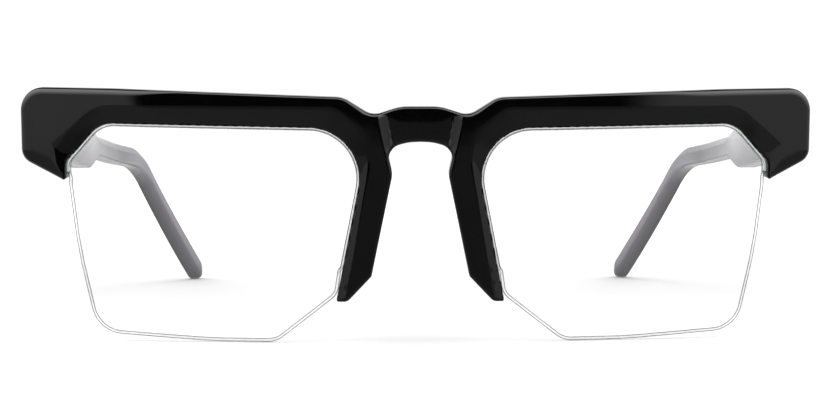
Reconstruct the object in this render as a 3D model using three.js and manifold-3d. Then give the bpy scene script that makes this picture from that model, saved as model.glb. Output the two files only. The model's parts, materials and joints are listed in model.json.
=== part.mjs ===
// Half rim eyeglasses: an acetate brow front with lenses held by nylon cords,
// and two folding acetate temples on five-barrel hinges.
//
// Axes: +X towards the wearer's left, +Y from the front back towards the temple tips, +Z up.
// Everything is drawn upright around the bridge first. The last step leans the whole
// assembly by FRONT_LEAN, as it stands on a table with the temples open.

import * as THREE from 'three';
import { mergeVertices } from 'three/addons/utils/BufferGeometryUtils.js';
import loadManifold from 'manifold-3d';

const wasm = await loadManifold();
wasm.setup();

// ---------------------------------------------------------------- dimensions, mm
const FACE_BEND_RADIUS = 300;
const FRONT_LEAN = 4;
const FRONT_THICKNESS = 4.2;
const EDGE_ROUND = 0.45;
const SLICE = 6;
const SNAP = 0.02;

const BEVEL_WIDTH_TOP = 3.2;
const BEVEL_WIDTH_ARM = 1.7;
const BEVEL_DEPTH = 0.9;
const BEVEL_TOP = 40.6;
const BEVEL_WIDENS = [24, 36];
const BEVEL_LOW_END = [8.4, 12.0];
const BEVEL_TEMPORAL_END = [64.0, 64.55];
const BEVEL_NASAL_START = [8.1, 9.0];

const BRIDGE_TOP = 42.92;
const KEYHOLE_TOP = 36.55;
const RIM_TOP_NASAL = 44.6;
const RIM_TOP_TEMPORAL = 46.05;
const FRONT_HALF_WIDTH = 73.35;
const ARM_SLOPE = 0.196;
const ARM_TIP = 7.35;

const LENS_THICKNESS = 2.0;
const LENS_DEPTH = 1.0;
const LENS_DOME = 1.0;
const LENS_CENTRE = [38, 20];
const LENS_EDGE_BREAK = 0.12;

const GROOVE_DEPTH = 0.6;
const GROOVE_WIDTH = 0.66;
const CORD_RADIUS = 0.25;
const CORD_INSET = 0.27;

const LINER_THICKNESS = 0.36;
const LINER_DEPTH = 1.3;
const LINER_OFFSET = 0.1;
const LENS_NASAL_HALF = 30;
const CORD_TEMPORAL_END = 30.0;
const CORD_NASAL_END = 12.9;
const LINER_TEMPORAL_END = 30.6;
const LINER_NASAL_END = 13.4;

const HINGE_X = 63.6;
const HINGE_Y = 14.75;
const HINGE_Z = 40.4;
const BARREL_RADIUS = 1.35;
const BARREL_LENGTH = 1.14;
const BARREL_PITCH = 1.26;
const BARRELS_HALF_HEIGHT = 2.5 * BARREL_PITCH;
const BORE_RADIUS = 0.56;
const SCREW_RADIUS = 0.5;
const SCREW_HEAD_RADIUS = 1.05;
const SCREW_HEAD_HEIGHT = 0.6;
const SCREW_HEAD_GAP = 0.05;
const SCREW_TAIL = 0.2;
const LEAF_THICKNESS = 0.8;
const LEAF_GAP = 0.06;
const LEAF_OVERHANG = 0.3;
const NECK_HALF_WIDTH = 1.1;
const SLOT_HALF_WIDTH = 0.14;
const SLOT_DEPTH = 0.25;
const NECK_START = 0.45;
const NECK_END = 1.3;
const NECK_BITE = 0.2;
const OVERRUN = 1;

const BLOCK_INNER_X = 60.6;
const BLOCK_STEP_X = 65.35;
const BLOCK_OUTER_X = 70.6;
const BLOCK_SEAT_GAP = 0.08;
const BLOCK_HINGE_FACE = 13.4;
const BLOCK_BACK = 14.6;
const BLOCK_BOTTOM = 31.9;
const BLOCK_TOP = 45.1;
const BLOCK_EDGE = 0.5;
const BLOCK_EDGE_INSET = 0.35;
const BLOCK_REBATE = 0.1;
const FRONT_LEAF_INNER_X = 62.1;
const FRONT_LEAF_OUTER_X = 65.04;
const TEMPLE_LEAF_LENGTH = 7.2;

// The slanting inner corner of the block, cut away under the end of the lens opening.
const UNDER_CORNER = [[59, 30], [65.3, 30], [65.3, 33], [59, 40.4]];

const PAD_LOW = 15.2;
const PAD_HIGH = 30.6;
const PAD_NASAL_X = 8.62;
const PAD_LATERAL_X = 13.1;
const PAD_NASAL_SLOPE = 0.213;
const PAD_RADIUS = 1.2;
const PAD_GAP = 0.12;
const PAD_CENTRE_X = 10;
const PAD_NASAL_DRAFT = 0.85;
const PAD_LATERAL_DRAFT = 0.35;
const PAD_END_TAPER = 1.4;
const PAD_SIDE_TAPER = 0.5;
const PAD_RADIUS_TAPER = 0.35;

const TEMPLE_START = 14.9;
const PANTOSCOPIC = 8;
const SHANK_TOP = 39.12;
const SHANK_HEIGHT = 4.3;
const PADDLE_BOTTOM = -7.3;
const PADDLE_TOP = 6.0;
const SHOULDER = [6, 33, 36];
const SHOULDER_RISE = 0.9;
const CHAMFER_START = 23.5;
const CHAMFER_LENGTH = 11;
const SHANK_LENGTH = 74;
const BEND_RADIUS = 28;
const BEND_ANGLE = 30.6;
const HOOK_LENGTH = 49;
const TIP_HEIGHT = 5.8;
const TIP_FLARE_LENGTH = 10;
const TEMPLE_THICKNESS = 4.0;
const TIP_THICKNESS = 3.7;
const THINNING = [30, 100];
const TIP_ROUND = 4.2;
const TEMPLE_CORNER = 1.2;
const HEEL_LENGTH = 14;
const TEMPLE_INNER_X = 65.5;
const CURL_START = 58;
const TIP_CURL = 11.4;
const CURL_POWER = 1.35;
const CORE_RADIUS = 0.7;
const CORE_CLEARANCE = 0.1;
const CORE_START = 0.4;
const CORE_LENGTH = 112;
const CORE_POSITION = 0.52;
const CORE_STEPS = 22;

// ---------------------------------------------------------------- materials
const finish = (color, roughness, extra) => new THREE.MeshStandardMaterial({ color, roughness, ...extra });
const BLACK_ACETATE = finish(0x0b0b0c, 0.18);
const SMOKE_ACETATE = finish(0x6f6d72, 0.25, { transparent: true, opacity: 0.88 });
const CLEAR_LENS = finish(0xe9edee, 0.03, { transparent: true, opacity: 0.2 });
const CLEAR_NYLON = finish(0xd6d8d8, 0.3, { transparent: true, opacity: 0.6 });
const HINGE_STEEL = finish(0xa9abae, 0.3, { metalness: 1 });
const SCREW_STEEL = finish(0xc4c6c8, 0.2, { metalness: 1 });
const CORE_STEEL = finish(0x9a9c9f, 0.35, { metalness: 1 });

// ---------------------------------------------------------------- small maths
const rad = THREE.MathUtils.degToRad;
const lerp = THREE.MathUtils.lerp;
const smooth = THREE.MathUtils.smoothstep;
const bend = (x) => FACE_BEND_RADIUS - Math.sqrt(FACE_BEND_RADIUS ** 2 - x * x);

// Replace each corner [x, z, radius] of a closed polygon by a tangent arc.
function roundedLoop(corners, stepDegrees = 15) {
  const out = [];
  corners.forEach((corner, i) => {
    const before = corners[(i + corners.length - 1) % corners.length];
    const after = corners[(i + 1) % corners.length];
    out.push(...cornerArc(before, corner, after, stepDegrees));
  });
  return out;
}

function cornerArc(before, corner, after, stepDegrees) {
  const p = new THREE.Vector2(corner[0], corner[1]);
  const u = new THREE.Vector2(before[0], before[1]).sub(p).normalize();
  const v = new THREE.Vector2(after[0], after[1]).sub(p).normalize();
  const turn = Math.PI - Math.acos(THREE.MathUtils.clamp(u.dot(v), -1, 1));
  const radius = corner[2] || 0;
  if (radius === 0 || turn < 0.01) {
    return [p];
  }
  const reach = radius * Math.tan(turn / 2);
  const start = p.clone().addScaledVector(u, reach);
  const side = Math.sign(u.x * v.y - u.y * v.x);
  const centre = start.clone().add(new THREE.Vector2(-u.y, u.x).multiplyScalar(side * radius));
  const steps = Math.max(1, Math.ceil(turn / rad(stepDegrees)));
  const arc = [];
  for (let k = 0; k <= steps; k += 1) {
    const point = start.clone().rotateAround(centre, -side * turn * (k / steps));
    arc.push(point);
  }
  return arc;
}

// Unit normals that point into a closed loop of 2-D points.
function inwardNormals(loop) {
  const sign = THREE.ShapeUtils.area(loop) > 0 ? 1 : -1;
  return loop.map((p, i) => {
    const a = loop[(i + loop.length - 1) % loop.length];
    const b = loop[(i + 1) % loop.length];
    const e = p.clone().sub(a).normalize();
    const f = b.clone().sub(p).normalize();
    const n = new THREE.Vector2(-e.y - f.y, e.x + f.x).normalize();
    const stretch = 1 / Math.max(0.6, Math.sqrt((1 + e.dot(f)) / 2));
    return n.multiplyScalar(sign * stretch);
  });
}

const inset = (loop, normals, amount) => loop.map((p, i) => (
  p.clone().addScaledVector(normals[i], typeof amount === 'function' ? amount(p, i) : amount)
));

const standing = (loop, depth) => loop.map((p, i) => (
  new THREE.Vector3(p.x, typeof depth === 'function' ? depth(p, i) : depth, p.y)
));

// ---------------------------------------------------------------- meshes
function geometryOf(points, faces) {
  const geometry = new THREE.BufferGeometry();
  const numbers = points.flatMap((p) => p.toArray());
  geometry.setAttribute('position', new THREE.Float32BufferAttribute(numbers, 3));
  geometry.setIndex(faces.flat());
  return geometry;
}

// Triangles of a flat loop of 3-D points, wound as the loop is.
function capFaces(loop) {
  const normal = new THREE.Vector3();
  loop.forEach((p, i) => {
    normal.add(p.clone().cross(loop[(i + 1) % loop.length]));
  });
  const up = new THREE.Vector3(0, 0, 1);
  const turnFlat = new THREE.Quaternion().setFromUnitVectors(normal.normalize(), up);
  const turned = loop.map((p) => p.clone().applyQuaternion(turnFlat));
  const flat = turned.map((p) => new THREE.Vector2(p.x, p.y));
  return THREE.ShapeUtils.triangulateShape(flat, []).map(([a, b, c]) => (
    THREE.ShapeUtils.area([flat[a], flat[b], flat[c]]) > 0 ? [a, b, c] : [a, c, b]
  ));
}

// Skin a row of equal-count loops and close both ends.
function skin(loops) {
  const count = loops[0].length;
  const faces = [];
  for (let k = 0; k + 1 < loops.length; k += 1) {
    for (let i = 0; i < count; i += 1) {
      const a = k * count + i;
      const b = k * count + ((i + 1) % count);
      faces.push([a, b, b + count]);
      faces.push([a, b + count, a + count]);
    }
  }
  const last = (loops.length - 1) * count;
  capFaces(loops[0]).forEach(([a, b, c]) => faces.push([a, c, b]));
  capFaces(loops.at(-1)).forEach(([a, b, c]) => faces.push([last + a, last + b, last + c]));
  return outward(geometryOf(loops.flat(), faces));
}

// Flip the winding of a closed mesh if its volume is negative.
function outward(geometry) {
  const p = geometry.attributes.position;
  const index = geometry.index.array;
  const [a, b, c] = [new THREE.Vector3(), new THREE.Vector3(), new THREE.Vector3()];
  let volume = 0;
  for (let i = 0; i < index.length; i += 3) {
    a.fromBufferAttribute(p, index[i]);
    b.fromBufferAttribute(p, index[i + 1]);
    c.fromBufferAttribute(p, index[i + 2]);
    volume += a.dot(b.cross(c));
  }
  return volume < 0 ? flipped(geometry) : geometry;
}

function flipped(geometry) {
  const index = geometry.index.array;
  for (let i = 0; i < index.length; i += 3) {
    [index[i + 1], index[i + 2]] = [index[i + 2], index[i + 1]];
  }
  return geometry;
}

// Keep the part of a convex polygon on one side of a plane of constant x.
function clip(polygon, x, side) {
  const out = [];
  polygon.forEach((p, i) => {
    const q = polygon[(i + 1) % polygon.length];
    const dp = (p.x - x) * side;
    const dq = (q.x - x) * side;
    if (dp >= 0) {
      out.push(p);
    }
    if (dp * dq < 0) {
      out.push(p.clone().lerp(q, dp / (dp - dq)));
    }
  });
  return out;
}

// Cut every triangle along planes of constant x, then wrap the mesh round the face.
function wrapped(geometry) {
  const p = geometry.attributes.position;
  const index = geometry.index.array;
  const soup = [];
  for (let i = 0; i < index.length; i += 3) {
    const corners = [0, 1, 2].map((k) => snapped(new THREE.Vector3().fromBufferAttribute(p, index[i + k])));
    soup.push(...slices(corners));
  }
  soup.forEach((v) => {
    v.y += bend(v.x);
  });
  return welded(geometryOf(soup, [soup.map((v, i) => i)]));
}

function snapped(v) {
  const plane = Math.round(v.x / SLICE) * SLICE;
  if (Math.abs(v.x - plane) < SNAP) {
    v.x = plane;
  }
  return v;
}

function slices(corners) {
  const low = Math.floor(Math.min(...corners.map((v) => v.x)) / SLICE);
  const high = Math.ceil(Math.max(...corners.map((v) => v.x)) / SLICE);
  const out = [];
  for (let k = low; k < high; k += 1) {
    const piece = clip(clip(corners, k * SLICE, 1), (k + 1) * SLICE, -1);
    for (let i = 1; i + 1 < piece.length; i += 1) {
      out.push(piece[0].clone(), piece[i].clone(), piece[i + 1].clone());
    }
  }
  return out;
}

// Join equal points and drop the triangles that close up.
function welded(geometry) {
  const joined = mergeVertices(geometry, 1e-3);
  const kept = [];
  const index = joined.index.array;
  for (let i = 0; i < index.length; i += 3) {
    const [a, b, c] = [index[i], index[i + 1], index[i + 2]];
    if (a !== b && b !== c && c !== a) {
      kept.push(a, b, c);
    }
  }
  joined.setIndex(kept);
  return joined;
}

const mirrored = (geometry) => flipped(geometry.clone().scale(-1, 1, 1));

// ---------------------------------------------------------------- booleans
function toSolid(geometry) {
  const bare = new THREE.BufferGeometry();
  bare.setAttribute('position', geometry.attributes.position.clone());
  bare.setIndex(geometry.index ? Array.from(geometry.index.array) : null);
  const joined = mergeVertices(bare, 1e-4);
  return new wasm.Manifold(new wasm.Mesh({
    numProp: 3,
    vertProperties: new Float32Array(joined.attributes.position.array),
    triVerts: new Uint32Array(joined.index.array),
  }));
}

function fromSolid(solid) {
  const mesh = solid.getMesh();
  const geometry = new THREE.BufferGeometry();
  geometry.setAttribute('position', new THREE.Float32BufferAttribute(mesh.vertProperties, 3));
  geometry.setIndex(Array.from(mesh.triVerts));
  return geometry;
}

const join = (parts) => fromSolid(wasm.Manifold.union(parts.map(toSolid)));

function cut(body, tools) {
  return fromSolid(toSolid(body).subtract(wasm.Manifold.union(tools.map(toSolid))));
}

function box(x0, x1, y0, y1, z0, z1) {
  const geometry = new THREE.BoxGeometry(x1 - x0, y1 - y0, z1 - z0);
  return geometry.translate((x0 + x1) / 2, (y0 + y1) / 2, (z0 + z1) / 2);
}

function rod(radius, z0, z1, sides = 20) {
  const geometry = new THREE.CylinderGeometry(radius, radius, z1 - z0, sides).rotateX(Math.PI / 2);
  return geometry.translate(HINGE_X, HINGE_Y, (z0 + z1) / 2);
}

// ---------------------------------------------------------------- front
// Corners of one half of the lens opening, from the temporal end to the nasal tip.
const OPENING = [
  [64.9, 28.75, 0.6],
  [64.9, 32.5, 2.4],
  [58.4, 39.6, 6.0],
  [9.2, 38.95, 9.2],
  [14.1, 13.9, 6.0],
  [15.38, ARM_TIP, 0.6],
];

// Corners of one half of the outer edge, from the nasal tip round the keyhole.
const KEYHOLE_SIDE = [
  [13.35, ARM_TIP, 1.6],
  [8.92, 12.05, 0.8],
  [4.95, 30.8, 4.5],
  [5.85, 34.2, 1.6],
  [4.7, 35.75, 2.2],
  [2.2, KEYHOLE_TOP - 0.08, 6.0],
];

// Corners of one half of the top edge, from the bridge out to the end piece.
const BROW_SIDE = [
  [3.6, BRIDGE_TOP, 9.0],
  [8.72, 41.3, 3.6],
  [14.05, RIM_TOP_NASAL, 4.5],
  [56.0, 45.92, 80.0],
  [FRONT_HALF_WIDTH, RIM_TOP_TEMPORAL, 4.3],
  [FRONT_HALF_WIDTH, 32.95, 2.8],
];

const flipSide = (corners) => corners.map(([x, z, r]) => [-x, z, r]);

function frontOutline() {
  const half = [...BROW_SIDE, ...OPENING, ...KEYHOLE_SIDE];
  const bridge = [[0, BRIDGE_TOP, 0]];
  const arch = [[0, KEYHOLE_TOP, 0]];
  return roundedLoop([...bridge, ...half, ...arch, ...flipSide(half).reverse()], 12);
}

// How much a point of the outline belongs to the lens opening, 0 to 1.
function openness(p) {
  const x = Math.abs(p.x);
  const insideTemporal = 1 - smooth(x, ...BEVEL_TEMPORAL_END);
  const slanted = x - ARM_SLOPE * (OPENING[3][1] - p.y);
  const insideNasal = smooth(slanted, ...BEVEL_NASAL_START);
  const belowTop = p.y < BEVEL_TOP ? 1 : 0;
  return insideTemporal * insideNasal * belowTop * smooth(p.y, ...BEVEL_LOW_END);
}

function bevelWidth(p) {
  const opening = lerp(BEVEL_WIDTH_ARM, BEVEL_WIDTH_TOP, smooth(p.y, ...BEVEL_WIDENS));
  return lerp(EDGE_ROUND, opening, openness(p));
}

const bevelDepth = (p) => lerp(EDGE_ROUND, BEVEL_DEPTH, openness(p));

function frontBody() {
  const outline = frontOutline();
  const normals = inwardNormals(outline);
  const face = inset(outline, normals, bevelWidth);
  const back = inset(outline, normals, EDGE_ROUND);
  return wrapped(skin([
    standing(face, 0),
    standing(outline, bevelDepth),
    standing(outline, FRONT_THICKNESS - EDGE_ROUND),
    standing(back, FRONT_THICKNESS),
  ]));
}

// Back of the front at a given x.
const frontBack = (x) => bend(x) + FRONT_THICKNESS;

// Wedge glued behind the end piece: it carries the hinge and the temple butts on it.
function endpieceBlock() {
  const steps = [0, 0.25, 0.5, 0.75, 1];
  const plan = steps.map((t) => lerp(BLOCK_OUTER_X, BLOCK_INNER_X, t)).map((x) => (
    new THREE.Vector2(x, frontBack(x) + BLOCK_SEAT_GAP)
  ));
  plan.push(new THREE.Vector2(BLOCK_INNER_X, BLOCK_HINGE_FACE - BLOCK_REBATE));
  plan.push(new THREE.Vector2(BLOCK_STEP_X, BLOCK_HINGE_FACE - BLOCK_REBATE));
  plan.push(new THREE.Vector2(BLOCK_STEP_X, BLOCK_BACK), new THREE.Vector2(BLOCK_OUTER_X, BLOCK_BACK));
  const normals = inwardNormals(plan);
  const level = (amount, z) => inset(plan, normals, amount).map((p) => new THREE.Vector3(p.x, p.y, z));
  const body = skin([
    level(BLOCK_EDGE_INSET, BLOCK_BOTTOM),
    level(0, BLOCK_BOTTOM + BLOCK_EDGE),
    level(0, BLOCK_TOP - BLOCK_EDGE),
    level(BLOCK_EDGE_INSET, BLOCK_TOP),
  ]);
  return cut(body, [leafPocket(), underCorner()]);
}

// Recess in the block for the front leaf of the hinge.
function leafPocket() {
  const half = BARRELS_HALF_HEIGHT + LEAF_OVERHANG + LEAF_GAP;
  const floor = BLOCK_HINGE_FACE - LEAF_THICKNESS - LEAF_GAP;
  return box(
    FRONT_LEAF_INNER_X - LEAF_GAP, FRONT_LEAF_OUTER_X + LEAF_GAP,
    floor, BLOCK_HINGE_FACE + OVERRUN, HINGE_Z - half, HINGE_Z + half,
  );
}

function underCorner() {
  const corners = UNDER_CORNER.map(([x, z]) => new THREE.Vector2(x, z));
  return skin([standing(corners, 0), standing(corners, BLOCK_BACK + 5)]);
}

// ---------------------------------------------------------------- nose pads
// One pad is a wedge behind the nasal arm. Its nasal side is one flat contact face.
const PAD_RINGS = [
  { rise: 0, shift: 0, shrink: 0 },
  { rise: 2.5, shift: 1.0, shrink: 0.15 },
  { rise: 5.5, shift: 2.2, shrink: 0.5 },
  { rise: 6.6, shift: 2.9, shrink: 1.1 },
  { rise: 7.1, shift: 3.5, shrink: 1.9 },
];

function nosePad() {
  const slope = PAD_CENTRE_X / Math.sqrt(FACE_BEND_RADIUS ** 2 - PAD_CENTRE_X ** 2);
  const base = frontBack(PAD_CENTRE_X) + PAD_GAP;
  return skin(PAD_RINGS.map(({ rise, shift, shrink }) => padLoop(shift, shrink).map((p) => (
    new THREE.Vector3(p.x, base + rise + slope * (p.x - PAD_CENTRE_X), p.y)
  ))));
}

function padLoop(shift, shrink) {
  const low = PAD_LOW + shrink * PAD_END_TAPER;
  const high = PAD_HIGH - shrink * PAD_END_TAPER;
  const nasalBase = PAD_NASAL_X + shift * PAD_NASAL_DRAFT;
  const nasal = (z) => nasalBase - PAD_NASAL_SLOPE * (z - PAD_LOW);
  const lateralBase = PAD_LATERAL_X + shift * PAD_LATERAL_DRAFT - shrink * PAD_SIDE_TAPER;
  const lateral = (z) => lateralBase - ARM_SLOPE * (z - PAD_LOW);
  const r = PAD_RADIUS - shrink * PAD_RADIUS_TAPER;
  return roundedLoop([
    [nasal(low), low, r],
    [lateral(low), low, r],
    [lateral(high), high, r],
    [nasal(high), high, r],
  ], 30);
}

// ---------------------------------------------------------------- lenses, liners and cords
const LENS = [
  [63.83, 32.53, 1.9],
  [58.22, 38.93, 5.4],
  [9.92, 38.35, 8.4],
  [14.72, 13.8, 12.0],
  [15.18, 8.7, 3.0],
  [26.5, -0.4, 5.0],
  [38.2, -0.4, 60.0],
  [59.8, 0.75, 4.0],
  [63.2, 16.1, 50.0],
  [64.5, 28.2, 1.5],
  [63.83, 30.4, 1.0],
];

const lensLoop = () => roundedLoop(LENS, 15);

function lensBody() {
  const loop = lensLoop();
  const normals = inwardNormals(loop);
  const centre = new THREE.Vector2(...LENS_CENTRE);
  const disc = (s, depth) => standing(
    inset(loop, normals, LENS_EDGE_BREAK).map((p) => p.clone().sub(centre).multiplyScalar(s).add(centre)),
    depth - LENS_DOME * (1 - s * s),
  );
  const ring = (amount, depth) => standing(inset(loop, normals, amount), depth);
  const mid = LENS_DEPTH + LENS_THICKNESS / 2;
  const back = LENS_DEPTH + LENS_THICKNESS;
  return wrapped(skin([
    ...[0.3, 0.6, 0.85, 1].map((s) => disc(s, LENS_DEPTH)),
    ring(0, LENS_DEPTH + LENS_EDGE_BREAK),
    ring(0, mid - GROOVE_WIDTH / 2),
    ring(GROOVE_DEPTH, mid - GROOVE_WIDTH / 2),
    ring(GROOVE_DEPTH, mid + GROOVE_WIDTH / 2),
    ring(0, mid + GROOVE_WIDTH / 2),
    ring(0, back - LENS_EDGE_BREAK),
    ...[1, 0.85, 0.6, 0.3].map((s) => disc(s, back)),
  ]));
}

// Stretch of the lens edge that keep() accepts, moved inwards by an amount.
function edgeRun(amount, keep) {
  const loop = lensLoop();
  const normals = inwardNormals(loop);
  const moved = inset(loop, normals, amount);
  const first = loop.findIndex((p, i) => keep(p) && !keep(loop[(i + loop.length - 1) % loop.length]));
  const out = [];
  for (let k = 0; k < loop.length; k += 1) {
    const i = (first + k) % loop.length;
    if (!keep(loop[i])) {
      break;
    }
    out.push({ p: moved[i], n: normals[i].clone().normalize() });
  }
  return out;
}

// Nylon cord: a round string in the groove below the acetate.
function cordBody() {
  const keep = (p) => p.y < CORD_TEMPORAL_END && !(p.y > CORD_NASAL_END && p.x < LENS_NASAL_HALF);
  const path = edgeRun(CORD_INSET, keep);
  const depth = LENS_DEPTH + LENS_THICKNESS / 2;
  const loops = path.map(({ p, n }) => [0, 1, 2, 3, 4, 5, 6, 7].map((k) => {
    const a = (k * Math.PI) / 4;
    const side = CORD_RADIUS * Math.cos(a);
    return new THREE.Vector3(p.x + n.x * side, depth + CORD_RADIUS * Math.sin(a), p.y + n.y * side);
  }));
  return wrapped(skin(loops));
}

// Nylon liner: a flat strip between the brow and the upper edge of the lens.
function linerBody() {
  const keep = (p) => p.y > LINER_TEMPORAL_END || (p.y > LINER_NASAL_END && p.x < LENS_NASAL_HALF);
  const path = edgeRun(-LINER_OFFSET, keep);
  const depth = LENS_DEPTH + LENS_THICKNESS / 2;
  const loops = path.map(({ p, n }) => [[0, -1], [LINER_THICKNESS, -1], [LINER_THICKNESS, 1], [0, 1]].map(
    ([out, d]) => new THREE.Vector3(p.x - n.x * out, depth + (d * LINER_DEPTH) / 2, p.y - n.y * out),
  ));
  return wrapped(skin(loops));
}

// ---------------------------------------------------------------- temples
// Centre line of the temple: distance along it, to a point in the y-z plane and a heading.
function templeLine(t) {
  const bendLength = BEND_RADIUS * rad(BEND_ANGLE);
  const turned = THREE.MathUtils.clamp((t - SHANK_LENGTH) / bendLength, 0, 1) * rad(BEND_ANGLE);
  const straight = Math.min(t, SHANK_LENGTH);
  const hook = Math.max(0, t - SHANK_LENGTH - bendLength);
  const along = straight + BEND_RADIUS * Math.sin(turned) + hook * Math.cos(turned);
  const drop = BEND_RADIUS * (1 - Math.cos(turned)) + hook * Math.sin(turned);
  return { along, drop, turned };
}

const TEMPLE_LENGTH = SHANK_LENGTH + BEND_RADIUS * rad(BEND_ANGLE) + HOOK_LENGTH;

// Upper and lower edge of the temple, measured from the shank's top line.
function templeTop(t) {
  const [start, end, gone] = SHOULDER;
  const shoulder = lerp(PADDLE_TOP, SHOULDER_RISE, smooth(t, start, end));
  return lerp(shoulder, 0, smooth(t, end, gone)) + edgeSwell(t);
}

function templeBottom(t) {
  const step = THREE.MathUtils.clamp((t - CHAMFER_START) / CHAMFER_LENGTH, 0, 1);
  return lerp(PADDLE_BOTTOM, -SHANK_HEIGHT, step) - edgeSwell(t);
}

const flareEnd = TEMPLE_LENGTH - TIP_FLARE_LENGTH;
const edgeSwell = (t) => ((TIP_HEIGHT - SHANK_HEIGHT) / 2) * smooth(t, SHANK_LENGTH, flareEnd);

function templeInnerX(t) {
  const curl = TIP_CURL * Math.max(0, (t - CURL_START) / (TEMPLE_LENGTH - CURL_START)) ** CURL_POWER;
  return TEMPLE_INNER_X - curl;
}

const templeThickness = (t) => lerp(TEMPLE_THICKNESS, TIP_THICKNESS, smooth(t, ...THINNING));

// A point of the temple from its distance t, its height h over the shank's top line and its x.
function templePoint(t, h, x) {
  const { along, drop, turned } = templeLine(t);
  const middle = -SHANK_HEIGHT / 2;
  const s = along - (h - middle) * Math.sin(turned);
  const v = middle - drop + (h - middle) * Math.cos(turned);
  const slope = rad(PANTOSCOPIC);
  const y = TEMPLE_START + s * Math.cos(slope) + v * Math.sin(slope) * heel(t);
  const z = SHANK_TOP - s * Math.sin(slope) + v * Math.cos(slope);
  return new THREE.Vector3(x, y, z);
}

// The butt end is cut square to the front, so its sections start upright.
const heel = (t) => smooth(t, 0, HEEL_LENGTH);

function templeSection(t, scale) {
  const top = templeTop(t);
  const bottom = templeBottom(t);
  const middle = (top + bottom) / 2;
  const half = ((top - bottom) / 2) * scale;
  const inner = templeInnerX(t);
  const thick = templeThickness(t);
  const centre = inner + thick / 2;
  const a = (thick / 2) * scale;
  const r = Math.min(TEMPLE_CORNER, a * 0.75);
  const loop = roundedLoop([
    [-a, -half, r * 0.8],
    [a, -half, r],
    [a, half, r],
    [-a, half, r],
  ], 30);
  return loop.map((p) => templePoint(t, middle + p.y, centre + p.x));
}

function templeShell() {
  const stations = [0, 5, 10, 15, 20, CHAMFER_START, 27, 31, 33, 34.5, 36, 48, 60, 70];
  for (let t = SHANK_LENGTH; t < TEMPLE_LENGTH - TIP_ROUND; t += 4) {
    stations.push(t);
  }
  const loops = stations.map((t) => templeSection(t, 1));
  [0.3, 0.55, 0.75, 0.9, 0.98].forEach((part) => {
    loops.push(templeSection(TEMPLE_LENGTH - TIP_ROUND * (1 - part), Math.sqrt(1 - part ** 2)));
  });
  return skin(loops);
}

// Metal core inside the temple, following its centre line.
function coreTube(radius, from, to) {
  const loops = [];
  for (let k = 0; k <= CORE_STEPS; k += 1) {
    const t = lerp(from, to, k / CORE_STEPS);
    const x = templeInnerX(Math.max(0, t)) + templeThickness(t) * CORE_POSITION;
    loops.push([0, 1, 2, 3, 4, 5, 6, 7].map((j) => {
      const a = (j * Math.PI) / 4;
      return templePoint(t, -SHANK_HEIGHT / 2 + radius * Math.sin(a), x + radius * Math.cos(a));
    }));
  }
  return skin(loops);
}

// Height of the lowest point of a geometry once the glasses lean.
function lowestPoint(geometry) {
  const leaned = geometry.clone().rotateX(rad(FRONT_LEAN));
  leaned.computeBoundingBox();
  return leaned.boundingBox.min.z;
}

// Everything below the table top, to flatten the tip that rests on it.
function tableTop(height) {
  const slab = new THREE.BoxGeometry(400, 400, 20).translate(0, 0, height - 10);
  return slab.rotateX(-rad(FRONT_LEAN));
}

function templeBody(tableHeight) {
  const half = BARRELS_HALF_HEIGHT + LEAF_GAP;
  const pocket = box(
    TEMPLE_INNER_X - OVERRUN, TEMPLE_INNER_X + LEAF_THICKNESS + LEAF_GAP,
    TEMPLE_START - OVERRUN, TEMPLE_START + LEAF_OVERHANG + TEMPLE_LEAF_LENGTH + LEAF_GAP,
    HINGE_Z - half, HINGE_Z + half,
  );
  const hole = coreTube(CORE_RADIUS + CORE_CLEARANCE, -OVERRUN, CORE_LENGTH + 0.5);
  return cut(templeShell(), [pocket, hole, tableTop(tableHeight)]);
}

// ---------------------------------------------------------------- hinges
// Five barrels share one axis: 1, 3 and 5 belong to the front leaf, 2 and 4 to the temple leaf.
const barrelZ = (k) => HINGE_Z + (k - 2) * BARREL_PITCH;
const barrel = (k) => rod(BARREL_RADIUS, barrelZ(k) - BARREL_LENGTH / 2, barrelZ(k) + BARREL_LENGTH / 2);
const bore = () => rod(BORE_RADIUS, HINGE_Z - 2 * BARRELS_HALF_HEIGHT, HINGE_Z + 2 * BARRELS_HALF_HEIGHT);

const neck = (k, x0, x1, y0, y1) => (
  box(x0, x1, y0, y1, barrelZ(k) - BARREL_LENGTH / 2, barrelZ(k) + BARREL_LENGTH / 2)
);

function frontHinge() {
  const half = BARRELS_HALF_HEIGHT + LEAF_OVERHANG;
  const front = BLOCK_HINGE_FACE - LEAF_THICKNESS;
  const plate = box(
    FRONT_LEAF_INNER_X, FRONT_LEAF_OUTER_X, front, BLOCK_HINGE_FACE, HINGE_Z - half, HINGE_Z + half,
  );
  const necks = [0, 2, 4].map((k) => neck(
    k, HINGE_X - NECK_HALF_WIDTH, HINGE_X + NECK_HALF_WIDTH, BLOCK_HINGE_FACE - BLOCK_REBATE, HINGE_Y,
  ));
  return cut(join([plate, ...[0, 2, 4].map(barrel), ...necks]), [bore()]);
}

function templeHinge() {
  const low = HINGE_Z - BARRELS_HALF_HEIGHT;
  const high = HINGE_Z + BARRELS_HALF_HEIGHT;
  const x0 = TEMPLE_INNER_X;
  const y0 = TEMPLE_START + LEAF_OVERHANG;
  const plate = box(x0, x0 + LEAF_THICKNESS, y0, y0 + TEMPLE_LEAF_LENGTH, low, high);
  const necks = [1, 3].map((k) => neck(
    k, HINGE_X, x0 + NECK_BITE, HINGE_Y + NECK_START, HINGE_Y + NECK_END,
  ));
  return cut(join([plate, ...[1, 3].map(barrel), ...necks]), [bore()]);
}

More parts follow.
